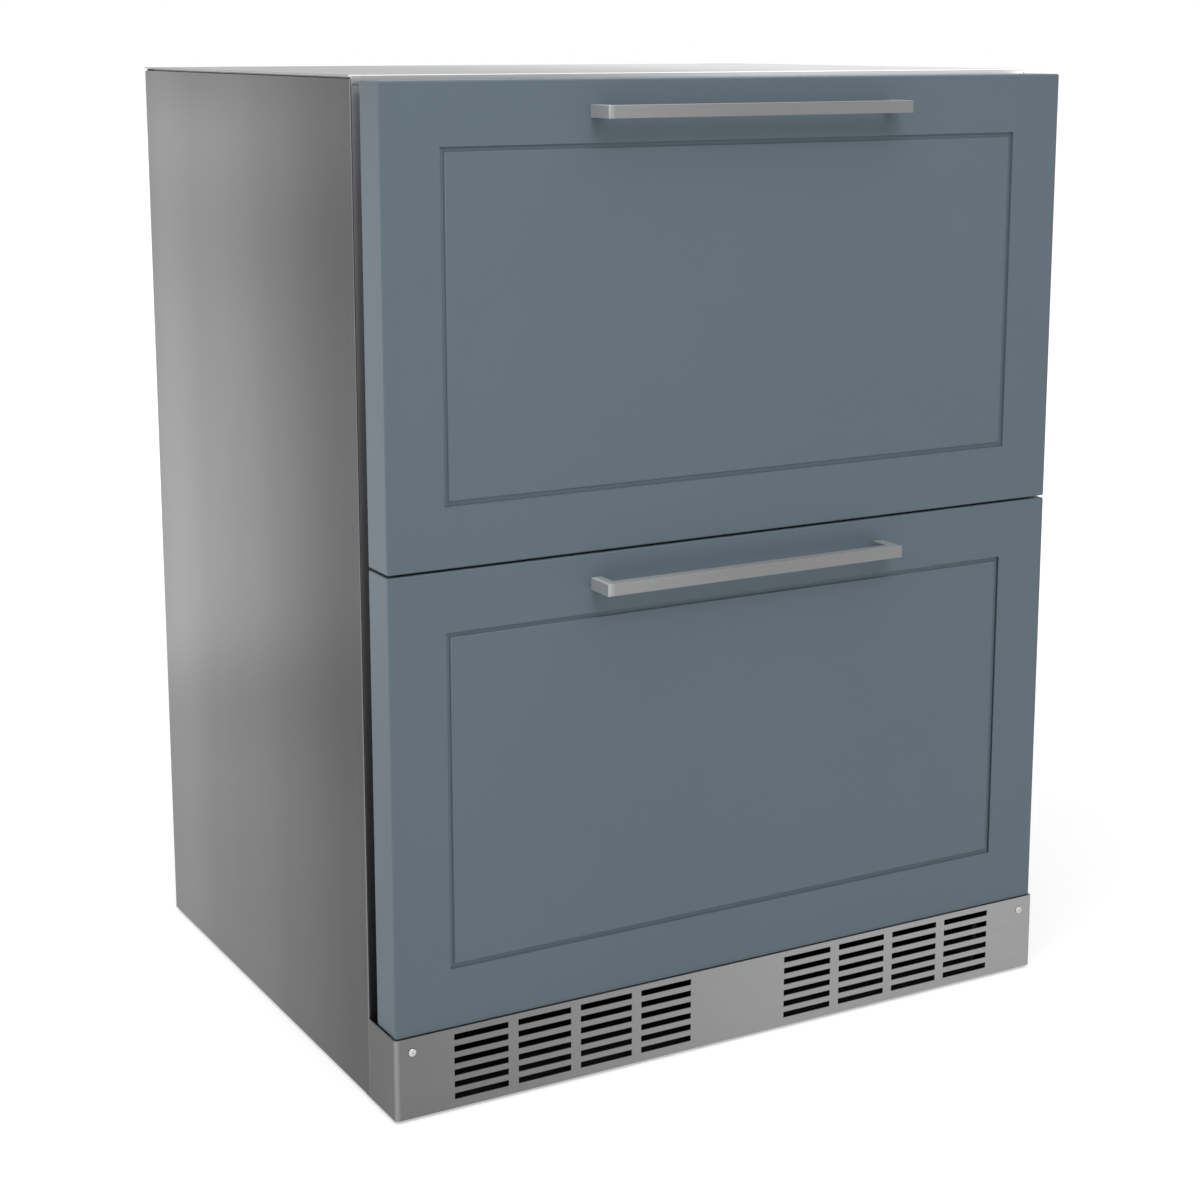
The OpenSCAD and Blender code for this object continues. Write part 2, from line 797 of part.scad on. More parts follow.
module condenser_coil() {
    tube_r = 4;
    rows = [0.12, 0.31, 0.5, 0.69, 0.88];
    pitch = (condenser_w - fin_t) / (condenser_fins - 1);
    plate = 2;
    plate_lap = 16;
    color([0.6, 0.6, 0.58]) {
        for (i = [0 : condenser_fins - 1]) {
            translate([condenser_x0 + i * pitch, condenser_y0, condenser_low_z])
                cube([fin_t, condenser_d, condenser_h]);
        }
        for (part_y = [0.3, 0.7], part_z = rows) {
            rod_x([condenser_x0, condenser_y0 + part_y * condenser_d, condenser_low_z + part_z * condenser_h],
                condenser_w, tube_r);
        }
        for (y = [condenser_y0, condenser_y1 - plate]) {
            translate([condenser_x0, y, pan_top_z]) cube([condenser_w, plate, condenser_lift + plate_lap]);
        }
        translate([condenser_x0, condenser_y0, condenser_top_z - plate])
            cube([condenser_w, condenser_d, plate]);
    }
}

module condenser_fan_bracket() {
    foot_w = 12;
    rim = 4;
    width = 2 * (condenser_fan_r + fan_hole_gap + rim);
    color([0.66, 0.68, 0.69]) difference() {
        union() {
            translate([bracket_x, compressor_y - width / 2, pan_top_z])
                cube([sheet_t, width, condenser_top_z - pan_top_z]);
            translate([bracket_x, compressor_y - width / 2, pan_top_z]) cube([foot_w, width, sheet_t]);
        }
        rod_x([bracket_x - cut, compressor_y, condenser_fan_z], sheet_t + 2 * cut,
            condenser_fan_r + fan_hole_gap);
    }
}

// A fan motor that points along +Z: can, shaft, and three arms that end on a plate below it
module fan_motor(can_r, can_l, reach, arm_r, shaft_l) {
    arm_w = 8;
    arm_t = 3;
    cylinder(h = can_l, r = can_r);
    translate([0, 0, -shaft_l]) cylinder(h = shaft_l + cut, r = shaft_r);
    for (turn = [90, 210, 330]) rotate([0, 0, turn]) {
        translate([0, -arm_w / 2, can_l / 2]) cube([arm_r + arm_t, arm_w, arm_t]);
        translate([arm_r, -arm_w / 2, -reach]) cube([arm_t, arm_w, reach + can_l / 2 + arm_t]);
    }
}

// A fan that turns about Z: hub with a bore, and pitched blades
module fan_rotor(r, hub_r, depth, blades) {
    pitch_angle = 32;
    blade_t = 1.5;
    root_in = 2;
    difference() {
        union() {
            cylinder(h = depth, r = hub_r);
            intersection() {
                cylinder(h = depth, r = r);
                for (i = [0 : blades - 1]) rotate([0, 0, i * 360 / blades])
                    translate([hub_r - root_in, 0, depth / 2]) rotate([pitch_angle, 0, 0])
                        translate([0, -r, -blade_t / 2]) cube([r, 2 * r, blade_t]);
            }
        }
        translate([0, 0, -cut]) cylinder(h = depth + 2 * cut, r = shaft_r + shaft_clear);
    }
}

module condenser_fan_motor() {
    arm_gap = 1;
    arm_r = condenser_fan_r + fan_hole_gap + arm_gap;
    reach = condenser_motor_x - bracket_x - sheet_t;
    shaft_l = condenser_motor_x - condenser_blade_x;
    color([0.25, 0.25, 0.26]) translate([condenser_motor_x, compressor_y, condenser_fan_z]) rotate([0, 90, 0])
        fan_motor(condenser_motor_r, condenser_motor_l, reach, arm_r, shaft_l);
}

module condenser_fan_blade() {
    color([0.1, 0.1, 0.1]) translate([condenser_blade_x, compressor_y, condenser_fan_z]) rotate([0, 90, 0])
        fan_rotor(condenser_fan_r, condenser_hub_r, condenser_blade_d, 5);
}

module filter_drier() {
    neck_l = 8;
    neck_r = line_r + 1;
    color([0.72, 0.45, 0.3]) translate([drier_x, drier_y, drier_low_z]) rotate_extrude() polygon([
        [0, 0], [neck_r, 0], [drier_r, neck_l], [drier_r, drier_l - neck_l], [neck_r, drier_l], [0, drier_l]
    ]);
}

module refrigerant_lines() {
    outlet_rise = 24;
    crossing_gap = 5;
    outlet_z = condenser_low_z + outlet_rise;
    over_z = line_top_z + 2 * line_r + crossing_gap;
    color([0.72, 0.45, 0.3]) {
        tube_run([
            [discharge_x, compressor_y, stub_top_z],
            [discharge_x, compressor_y, line_top_z],
            [condenser_x0 + condenser_w / 2, compressor_y, line_top_z],
            [condenser_x0 + condenser_w / 2, compressor_y, condenser_top_z]
        ], line_r);
        tube_run([
            [condenser_x1, drier_y, outlet_z],
            [drier_x, drier_y, outlet_z],
            [drier_x, drier_y, drier_low_z]
        ], line_r);
        tube_run([
            [drier_x, drier_y, drier_low_z + drier_l],
            [drier_x, drier_y, over_z],
            [drier_x, passage_y, over_z],
            [drier_x, passage_y, evaporator_low_z]
        ], line_r);
        tube_run([
            [suction_x, compressor_y, stub_top_z],
            [suction_x, compressor_y, line_top_z],
            [suction_x, passage_y, line_top_z],
            [suction_x, passage_y, evaporator_low_z]
        ], line_r);
    }
}

module drain_pan() {
    wall = 2;
    back_gap = 40;
    y = [machine_y - back_gap - drain_pan_d, machine_y - back_gap];
    color([0.15, 0.15, 0.16]) difference() {
        wide_block(drain_pan_l / 2, y, [pan_top_z, pan_top_z + drain_pan_h]);
        wide_block(drain_pan_l / 2 - wall, [y[0] + wall, y[1] - wall],
            [pan_top_z + wall, pan_top_z + drain_pan_h + cut]);
    }
}

module evaporator_coil() {
    tube_r = 4;
    plate = 2;
    fin_back_gap = 4;
    fin_d = evaporator_d - fin_back_gap;
    width = 2 * evaporator_half_x;
    pitch = (width - fin_t) / (evaporator_fins - 1);
    rows = [0.1, 0.3, 0.5, 0.7, 0.9];
    color([0.75, 0.76, 0.77]) {
        for (i = [0 : evaporator_fins - 1]) {
            translate([-evaporator_half_x + i * pitch, evaporator_y, evaporator_low_z])
                cube([fin_t, fin_d, evaporator_h]);
        }
        for (part = rows) {
            rod_x([-evaporator_half_x, passage_y, evaporator_low_z + part * evaporator_h], width, tube_r);
        }
        for (x = [-evaporator_half_x - plate, evaporator_half_x]) {
            translate([x, evaporator_y, evaporator_low_z]) cube([plate, evaporator_d, evaporator_h]);
        }
        translate([-evaporator_half_x, evaporator_y, evaporator_low_z]) cube([width, fin_d, plate]);
    }
}

module evaporator_cover() {
    slat_h = 6;
    slat_pitch = 12;
    half_x = inner_x - fit_gap;
    intake_l = 70;
    intake_pitch = 86;
    intake_rise = 14;
    intake_z = step_z + intake_rise;
    hole_y = [cover_y - cut, cover_y + cover_t + cut];
    color([0.86, 0.87, 0.88]) difference() {
        wide_block(half_x, [cover_y, cover_y + cover_t], [step_z + fit_gap, ceiling_z - fit_gap]);
        intersection() {
            rod_y([0, cover_y - cut, evaporator_fan_z], cover_t + 2 * cut, evaporator_fan_r);
            for (row = [-4 : 4]) {
                slot_z = evaporator_fan_z + row * slat_pitch - slat_h / 2;
                wide_block(evaporator_fan_r, hole_y, [slot_z, slot_z + slat_h]);
            }
        }
        for (column = [-2 : 2], row = [0 : 2]) {
            translate([column * intake_pitch - intake_l / 2, cover_y - cut, intake_z + row * slat_pitch])
                cube([intake_l, cover_t + 2 * cut, slat_h]);
        }
    }
}

module evaporator_fan_motor() {
    arm_gap = 5;
    reach = evaporator_motor_y - cover_y - cover_t;
    shaft_l = evaporator_motor_y - evaporator_blade_y;
    color([0.25, 0.25, 0.26]) translate([0, evaporator_motor_y, evaporator_fan_z]) rotate([-90, 0, 0])
        fan_motor(evaporator_motor_r, evaporator_motor_l, reach, evaporator_fan_r + arm_gap, shaft_l);
}

module evaporator_fan_blade() {
    color([0.9, 0.9, 0.9]) translate([0, evaporator_blade_y, evaporator_fan_z]) rotate([-90, 0, 0])
        fan_rotor(evaporator_fan_r, evaporator_hub_r, evaporator_blade_d, 5);
}

// ---- Controls and lamp ----

module control_housing() {
    color([0.16, 0.17, 0.18]) difference() {
        wide_block(control_w / 2, [control_y, control_y + control_d], [control_low_z, ceiling_z]);
        for (i = [0 : 2]) {
            rod_y([button_x(i), control_y - cut, button_z], button_recess + cut, button_r + button_clear);
        }
        display_block(0, cut);
    }
}

// The display window's block: smaller by a margin all round, and standing proud
module display_block(margin, proud) {
    half = [display_w / 2 - margin, display_h / 2 - margin];
    block([display_x - half[0], control_y - proud, button_z - half[1]],
        [display_x + half[0], control_y + display_d, button_z + half[1]]);
}

module display_window() {
    color([0.04, 0.05, 0.07]) display_block(display_clear, display_proud);
}

// One push button, counted from the left
module button(i) {
    bevel = 0.8;
    rear_clear = 0.5;
    length = button_proud + button_recess - button_travel - rear_clear;
    color([0.75, 0.76, 0.78]) translate([button_x(i), control_y - button_proud, button_z])
        rotate([-90, 0, 0]) rotate_extrude() polygon([
            [0, 0], [button_r - bevel, 0], [button_r, bevel], [button_r, length], [0, length]
        ]);
}

module power_button() { button(0); }
module cooler_button() { button(1); }
module warmer_button() { button(2); }

module lamp_lens() {
    y = control_y + control_d + lamp_gap;
    color([0.95, 0.96, 0.98]) wide_block(lamp_w / 2, [y, y + lamp_d], [ceiling_z - lamp_h, ceiling_z]);
}

module mains_gland() {
    flange_t = 2;
    color([0.08, 0.08, 0.08]) difference() {
        union() {
            rod_y([gland_x, rear_y + flange_t - gland_l, gland_z], gland_l, gland_body_r - gland_clear);
            rod_y([gland_x, rear_y, gland_z], flange_t, gland_flange_r);
        }
        rod_y([gland_x, rear_y + flange_t - gland_l - cut, gland_z], gland_l + 2 * cut, gland_bore_r);
    }
}

// ---- Runners ----

// Half height of a runner member, counted from the outermost
function member_half(i) = runner_h / 2 - i * (runner_t + runner_clear);

// A channel open towards the cabinet's middle: web at x0, lips reaching x1 (right side)
module channel(half_h, web_x, lip_x, y, length, z) {
    low_x = min(web_x, lip_x);
    high_x = max(web_x, lip_x);
    web_low_x = web_x > lip_x ? web_x - runner_t : web_x;
    block([web_low_x, y, z - half_h], [web_low_x + runner_t, y + length, z + half_h]);
    for (low_z = [z - half_h, z + half_h - runner_t]) {
        block([low_x, y, low_z], [high_x, y + length, low_z + runner_t]);
    }
}

module cabinet_runner(length, z) {
    color([0.72, 0.73, 0.75]) channel(member_half(0), inner_x, box_x + 2 * runner_t, runner_y, length, z);
}

module middle_runners(length, z) {
    web_x = inner_x - runner_t - runner_clear;
    color([0.68, 0.69, 0.71]) both_sides()
        channel(member_half(1), web_x, box_x + 2 * runner_t, runner_y, length, z);
}

module drawer_runners(length, z) {
    lip_x = inner_x - 2 * (runner_t + runner_clear);
    color([0.72, 0.73, 0.75]) both_sides() channel(member_half(2), box_x, lip_x, runner_y, length, z);
}

module upper_cabinet_runner_right() { cabinet_runner(upper_runner_l, upper_runner_z); }
module upper_cabinet_runner_left() { mirror([1, 0, 0]) cabinet_runner(upper_runner_l, upper_runner_z); }
module lower_cabinet_runner_right() { cabinet_runner(lower_runner_l, lower_runner_z); }
module lower_cabinet_runner_left() { mirror([1, 0, 0]) cabinet_runner(lower_runner_l, lower_runner_z); }
module upper_middle_runners() { middle_runners(upper_runner_l, upper_runner_z); }
module lower_middle_runners() { middle_runners(lower_runner_l, lower_runner_z); }
module upper_drawer_runners() { drawer_runners(upper_runner_l, upper_runner_z); }
module lower_drawer_runners() { drawer_runners(lower_runner_l, lower_runner_z); }

// ---- Drawers ----

module drawer_box(low_z, height, depth) {
    y0 = core_rear_y;
    top_z = low_z + height;
    color([0.78, 0.79, 0.8]) difference() {
        union() {
            wide_block(box_x, [y0, y0 + depth], [low_z, top_z]);
            wide_block(box_x + lip_w, [y0 + lip_setback, y0 + depth], [top_z - lip_h, top_z]);
        }
        wide_block(box_x - box_t, [y0 + box_t, y0 + depth - box_t], [low_z + box_t, top_z + cut]);
    }
}

// Where the two screws of a handle stand: half their distance, and their height
handle_screw_x = handle_l / 2 - handle_bar / 2;
function handle_z(front_z) = front_z[1] - stile_w / 2;

// A range of heights that is longer by a margin at each end
function grown(z, margin) = [z[0] - margin, z[1] + margin];

module front_core(front_z, open_z) {
    half_x = panel_x - rim_w - fit_gap;
    plug_in = gasket_inset + core_clear;
    pocket_r = 3 * handle_screw_r;
    pocket_d = 4;
    color([0.82, 0.83, 0.84]) difference() {
        union() {
            wide_block(half_x, [board_back_y, panel_back_y], grown(front_z, -rim_w - fit_gap));
            wide_block(inner_x - plug_in, [board_back_y, core_rear_y], grown(open_z, -plug_in));
        }
        both_sides() rod_y([handle_screw_x, board_back_y - cut, handle_z(front_z)], pocket_d + cut, pocket_r);
    }
}

module gasket(open_z) {
    outer_x = inner_x + gasket_lap;
    difference() {
        wide_block(outer_x, [panel_back_y, face_y - soft_clear], grown(open_z, gasket_lap));
        wide_block(inner_x - gasket_inset, [panel_back_y - cut, face_y], grown(open_z, -gasket_inset));
    }
}

// Stiles and rails of a painted front, with the rim that hides the core
module panel_frame(front_z) {
    field_x = panel_x - stile_w;
    field_z = grown(front_z, -stile_w);
    color([0.39, 0.45, 0.48]) difference() {
        wide_block(panel_x, [panel_front_y, panel_back_y], front_z);
        wide_block(field_x, [panel_front_y - cut, board_back_y], field_z);
        wide_block(field_x + rebate_w, [panel_front_y + groove_d, board_back_y], grown(field_z, rebate_w));
        wide_block(panel_x - rim_w, [board_back_y, panel_back_y + cut], grown(front_z, -rim_w));
        both_sides() rod_y([handle_screw_x, panel_front_y - cut, handle_z(front_z)], board_t + 2 * cut,
            handle_screw_r + screw_clear);
    }
}

module panel_centre(front_z) {
    field_x = panel_x - stile_w;
    field_z = grown(front_z, -stile_w);
    color([0.39, 0.45, 0.48]) {
        wide_block(field_x - groove_w, [panel_front_y + field_step, board_back_y], grown(field_z, -groove_w));
        wide_block(field_x + rebate_w, [panel_front_y + groove_d, board_back_y], grown(field_z, rebate_w));
    }
}

// A square bar between two square posts
module handle(front_z) {
    low_z = handle_z(front_z) - handle_bar / 2;
    high_z = low_z + handle_bar;
    front_y = panel_front_y - handle_reach;
    color([0.72, 0.7, 0.68]) difference() {
        union() {
            wide_block(handle_l / 2, [front_y, front_y + handle_bar], [low_z, high_z]);
            both_sides()
                block([handle_l / 2 - handle_bar, front_y, low_z], [handle_l / 2, panel_front_y, high_z]);
        }
        both_sides() rod_y([handle_screw_x, panel_front_y - handle_thread_l - cut, handle_z(front_z)],
            handle_thread_l + 2 * cut, handle_screw_r + screw_clear);
    }
}

module handle_screws(front_z) {
    head_h = 2.5;
    head_r = 2 * handle_screw_r;
    color([0.8, 0.8, 0.8]) both_sides() {
        rod_y([handle_screw_x, panel_front_y - handle_thread_l, handle_z(front_z)], handle_thread_l + board_t,
            handle_screw_r);
        rod_y([handle_screw_x, board_back_y, handle_z(front_z)], head_h, head_r);
    }
}

module upper_drawer_box() { drawer_box(upper_box_z, upper_box_h, upper_box_d); }
module lower_drawer_box() { drawer_box(lower_box_z, lower_box_h, lower_box_d); }
module upper_front_core() { front_core(upper_front_z, upper_open_z); }
module lower_front_core() { front_core(lower_front_z, lower_open_z); }
module upper_gasket() { color([0.1, 0.1, 0.11]) gasket(upper_open_z); }
module lower_gasket() { color([0.1, 0.1, 0.11]) gasket(lower_open_z); }
module upper_panel_frame() { panel_frame(upper_front_z); }
module lower_panel_frame() { panel_frame(lower_front_z); }
module upper_panel_centre() { panel_centre(upper_front_z); }
module lower_panel_centre() { panel_centre(lower_front_z); }
module upper_handle() { handle(upper_front_z); }
module lower_handle() { handle(lower_front_z); }
module upper_handle_screws() { handle_screws(upper_front_z); }
module lower_handle_screws() { handle_screws(lower_front_z); }

side_panel_left();
side_panel_right();
top_panel();
back_panel();
base_pan();
compartment_deck();
foam_insulation();
inner_liner();
face_frame();
centre_mullion();
rear_service_cover();
cabinet_screws();
kick_grille();
leg_front_left();
leg_front_right();
leg_rear_left();
leg_rear_right();
compressor();
compressor_grommets();
condenser_coil();
condenser_fan_bracket();
condenser_fan_motor();
condenser_fan_blade();
refrigerant_lines();
filter_drier();
drain_pan();
evaporator_coil();
evaporator_cover();
evaporator_fan_motor();
evaporator_fan_blade();
control_housing();
display_window();
power_button();
warmer_button();
cooler_button();
lamp_lens();
mains_gland();
upper_cabinet_runner_left();
upper_cabinet_runner_right();
lower_cabinet_runner_left();
lower_cabinet_runner_right();
upper_middle_runners();
lower_middle_runners();
upper_drawer_runners();
lower_drawer_runners();
upper_drawer_box();
lower_drawer_box();
upper_front_core();
lower_front_core();
upper_gasket();
lower_gasket();
upper_panel_frame();
lower_panel_frame();
upper_panel_centre();
lower_panel_centre();
upper_handle();
lower_handle();
upper_handle_screws();
lower_handle_screws();
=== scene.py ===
import json
import math

import bmesh
import bpy
from mathutils import Matrix, Vector

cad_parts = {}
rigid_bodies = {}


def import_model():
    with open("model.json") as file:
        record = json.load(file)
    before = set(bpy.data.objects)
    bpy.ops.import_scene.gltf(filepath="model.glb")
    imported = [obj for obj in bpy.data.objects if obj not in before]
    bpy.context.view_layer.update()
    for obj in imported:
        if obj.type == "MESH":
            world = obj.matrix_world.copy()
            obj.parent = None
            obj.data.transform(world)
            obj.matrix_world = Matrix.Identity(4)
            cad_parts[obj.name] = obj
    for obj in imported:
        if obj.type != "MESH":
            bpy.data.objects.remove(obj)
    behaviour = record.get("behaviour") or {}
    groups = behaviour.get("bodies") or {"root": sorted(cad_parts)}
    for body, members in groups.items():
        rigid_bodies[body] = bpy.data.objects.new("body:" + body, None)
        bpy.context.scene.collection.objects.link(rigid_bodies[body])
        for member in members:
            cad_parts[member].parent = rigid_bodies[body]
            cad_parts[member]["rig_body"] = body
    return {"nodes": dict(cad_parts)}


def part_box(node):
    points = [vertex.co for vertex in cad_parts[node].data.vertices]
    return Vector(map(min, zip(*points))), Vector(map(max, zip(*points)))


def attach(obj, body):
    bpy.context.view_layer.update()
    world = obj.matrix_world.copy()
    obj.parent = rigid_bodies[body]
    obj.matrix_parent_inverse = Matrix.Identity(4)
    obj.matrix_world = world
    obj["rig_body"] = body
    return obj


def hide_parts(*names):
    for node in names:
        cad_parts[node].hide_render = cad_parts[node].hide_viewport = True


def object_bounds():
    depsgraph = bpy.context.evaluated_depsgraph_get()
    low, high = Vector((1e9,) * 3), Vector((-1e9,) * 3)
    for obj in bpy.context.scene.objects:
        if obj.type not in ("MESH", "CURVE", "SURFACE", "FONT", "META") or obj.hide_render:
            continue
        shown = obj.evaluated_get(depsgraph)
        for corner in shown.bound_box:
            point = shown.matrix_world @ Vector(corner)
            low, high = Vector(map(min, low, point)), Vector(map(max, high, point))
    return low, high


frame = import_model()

CAD_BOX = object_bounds()
CABINET_TOP = CAD_BOX[1][2]
MM = 0.001
X, Y, Z = 0, 1, 2
# Places closer than TOUCH count as the same, and vertices closer than WELD become one
TOUCH = 1e-5
WELD = 0.002 * MM

# ---- Camera, light and floor ----

IMAGE_SIDE = 1200
SENSOR_MM = 36.0
CAMERA_AT = Vector((-1.0725, -1.9146, 0.906))
CAMERA_AZIMUTH = math.radians(29.38)
CAMERA_PITCH = math.radians(-11.0)
FOCAL_PIXELS = 2283.0
HORIZON_PIXEL = 480.0


def add_camera():
    data = bpy.data.cameras.new("camera")
    data.sensor_width = SENSOR_MM
    data.lens = FOCAL_PIXELS / IMAGE_SIDE * SENSOR_MM
    data.shift_y = (HORIZON_PIXEL - IMAGE_SIDE / 2) / IMAGE_SIDE
    data.clip_start = 0.05
    data.clip_end = 60.0
    camera = bpy.data.objects.new("camera", data)
    bpy.context.scene.collection.objects.link(camera)
    look = Vector((
        math.sin(CAMERA_AZIMUTH) * math.cos(CAMERA_PITCH),
        math.cos(CAMERA_AZIMUTH) * math.cos(CAMERA_PITCH),
        math.sin(CAMERA_PITCH),
    ))
    camera.location = CAMERA_AT
    camera.rotation_mode = "QUATERNION"
    camera.rotation_quaternion = look.to_track_quat("-Z", "Y")
    bpy.context.scene.camera = camera


def add_area_light(name, at, target, size, watts):
    data = bpy.data.lights.new(name, "AREA")
    data.shape = "RECTANGLE"
    data.size, data.size_y = size
    data.energy = watts
    light = bpy.data.objects.new(name, data)
    light.location = at
    light.rotation_mode = "QUATERNION"
    light.rotation_quaternion = (Vector(target) - Vector(at)).to_track_quat("-Z", "Y")
    light.visible_camera = False
    bpy.context.scene.collection.objects.link(light)


class Shader:
    """A node tree round one Principled shader, with short calls for its nodes."""

    def __init__(self, name, **constants):
        self.material = bpy.data.materials.new(name)
        self.material.use_nodes = True
        self.tree = self.material.node_tree
        self.principled = self.tree.nodes["Principled BSDF"]
        for socket, value in constants.items():
            self.principled.inputs[socket.replace("_", " ")].default_value = value

    def node(self, kind, **settings):
        made = self.tree.nodes.new(kind)
        for key, value in settings.items():
            setattr(made, key, value)
        return made

    def link(self, source, target):
        self.tree.links.new(source, target)

    def place(self, scale=(1, 1, 1)):
        """Object coordinates in metres, stretched along each axis."""
        coordinates = self.node("ShaderNodeTexCoord")
        mapping = self.node("ShaderNodeMapping")
        mapping.inputs["Scale"].default_value = scale
        self.link(coordinates.outputs["Object"], mapping.inputs["Vector"])
        return mapping.outputs["Vector"]

    def noise(self, scale, detail=2.0, roughness=0.5):
        """A noise whose scale per metre is one number, or one for each axis."""
        if isinstance(scale, float):
            scale = (scale,) * 3
        texture = self.node("ShaderNodeTexNoise")
        texture.inputs["Scale"].default_value = 1.0
        texture.inputs["Detail"].default_value = detail
        texture.inputs["Roughness"].default_value = roughness
        self.link(self.place(scale), texture.inputs["Vector"])
        return texture.outputs["Fac"]

    def cells(self, scale):
        """The outputs of a cell texture with a scale per metre."""
        texture = self.node("ShaderNodeTexVoronoi")
        texture.inputs["Scale"].default_value = scale
        self.link(self.place(), texture.inputs["Vector"])
        return texture.outputs

    def span(self, value, low, high, from_low=0.0, from_high=1.0):
        """A value stretched from one range to another."""
        ranged = self.node("ShaderNodeMapRange")
        ranged.inputs["From Min"].default_value = from_low
        ranged.inputs["From Max"].default_value = from_high
        ranged.inputs["To Min"].default_value = low
        ranged.inputs["To Max"].default_value = high
        self.link(value, ranged.inputs["Value"])
        return ranged.outputs["Result"]

    def along(self, axis):
        """One of the object coordinates, in metres."""
        split = self.node("ShaderNodeSeparateXYZ")
        self.link(self.place(), split.inputs["Vector"])
        return split.outputs[axis]

    def painted_light_drift(self, axis, start, end, *tones):
        """Painted light and shade: a tone that eases through evenly spaced tones, all under 2,
        between two places on an axis. A ramp holds no more than 1, so it holds half of each tone."""
        last = len(tones) - 1
        stops = [(i / last, shade(0.5 * tone)) for i, tone in enumerate(tones)]
        colour = self.colours(self.span(self.along(axis), 0.0, 1.0, start, end), *stops)
        colour.node.color_ramp.interpolation = "B_SPLINE"
        return self.maths("MULTIPLY", colour, 2.0)

    def colours(self, value, *stops):
        """A colour ramp: each stop is a position and a linear colour."""
        made = self.node("ShaderNodeValToRGB")
        elements = made.color_ramp.elements
        while len(elements) < len(stops):
            elements.new(0.5)
        for element, (position, colour) in zip(elements, stops):
            element.position = position
            element.color = (*colour, 1.0)
        self.link(value, made.inputs["Fac"])
        return made.outputs["Color"]

    def multiply(self, first, second):
        """The product of two colours, no more than 1."""
        mix = self.node(
            "ShaderNodeMix", data_type="RGBA", blend_type="MULTIPLY", clamp_result=True)
        mix.inputs["Factor"].default_value = 1.0
        self.link(first, mix.inputs["A"])
        self.link(second, mix.inputs["B"])
        return mix.outputs["Result"]

    def maths(self, operation, first, second):
        made = self.node("ShaderNodeMath", operation=operation)
        for socket, value in zip(made.inputs, (first, second)):
            if isinstance(value, (int, float)):
                socket.default_value = value
            else:
                self.link(value, socket)
        return made.outputs["Value"]

    def base(self, colour):
        self.link(colour, self.principled.inputs["Base Color"])

    def rough(self, value):
        self.link(value, self.principled.inputs["Roughness"])

    def bumps(self, *layers):
        """Bump layers, each a height, a strength and a distance in metres."""
        last = None
        for height, strength, distance in layers:
            bump = self.node("ShaderNodeBump")
            bump.inputs["Strength"].default_value = strength
            bump.inputs["Distance"].default_value = distance
            self.link(height, bump.inputs["Height"])
            if last is not None:
                self.link(last, bump.inputs["Normal"])
            last = bump.outputs["Normal"]
        self.link(last, self.principled.inputs["Normal"])


def shade(level, tint=(1.0, 1.0, 1.0)):
    """A tint at a level, and a grey where no tint is given."""
    return tuple(level * part for part in tint)


# ---- Materials ----

# Scales per metre of the grain and of the slow bands, across the grain and along it
GRAIN_FINE, GRAIN_LONG = 1600.0, 9.0
BAND_FINE, BAND_LONG = 7.0, 0.35

# Where the painted light and shade begin and end, in metres
SHEET_LEFT, SHEET_RIGHT = -0.34, 0.34
SIDE_FRONT, SIDE_REAR = -0.21, 0.25
FOLD_FRONT, FOLD_REAR = -0.2130, -0.2080
CORNER_LEFT, CORNER_RIGHT = -0.3432, -0.3380
BAR_LEFT, BAR_RIGHT = -0.15, 0.15
BAR_END_LEFT, BAR_END_RIGHT = -0.1540, -0.1455


def brushed_steel(name, level, along, *painted_light_drifts, roughness=0.36, band=0.05, edge=0.35):
    """Brushed sheet with its grain along one axis, slow soft bands across it, and painted light and
    shade that drift. Each drift is an axis, its two ends in metres and the tones from end to end."""
    fine = [GRAIN_FINE] * 3
    fine[along] = GRAIN_LONG
    wide = [BAND_FINE] * 3
    wide[along] = BAND_LONG
    s = Shader(name, Metallic=1.0, Specular_Tint=(edge, edge, edge, 1.0))
    grain = s.noise(fine, detail=3.0, roughness=0.6)
    bands = s.noise(wide, detail=2.0, roughness=0.55)
    dark, bright = shade(level * (1 - band)), shade(level * (1 + band))
    tone = s.colours(bands, (0.30, dark), (0.70, bright))
    colour = s.multiply(tone, s.colours(grain, (0.25, shade(0.90)), (0.75, shade(1.0))))
    # Painted light and shade, multiplied into the colour
    for painted_light_drift in painted_light_drifts:
        colour = s.multiply(colour, s.painted_light_drift(*painted_light_drift))
    s.base(colour)
    smear = s.span(s.noise(5.0, detail=3.0), roughness - 0.03, roughness + 0.03)
    s.rough(s.maths("ADD", s.span(grain, -0.05, 0.05), smear))
    s.bumps((grain, 0.10, 0.00005))
    return s.material


def front_paint():
    """Satin lacquer on wood: faint cloudiness, fine orange peel and a trace of grain beneath."""
    s = Shader("front_paint", Specular_IOR_Level=0.35, IOR=1.45)
    cloud = s.noise(3.0, detail=4.0)
    peel = s.noise(420.0, detail=1.0)
    grain = s.noise((9.0, 900.0, 900.0), detail=3.0, roughness=0.65)
    s.base(s.colours(cloud, (0.30, (0.120, 0.161, 0.190)), (0.70, (0.127, 0.169, 0.199))))
    s.rough(s.span(cloud, 0.44, 0.50))
    s.bumps((peel, 0.10, 0.0002), (grain, 0.05, 0.0002))
    return s.material


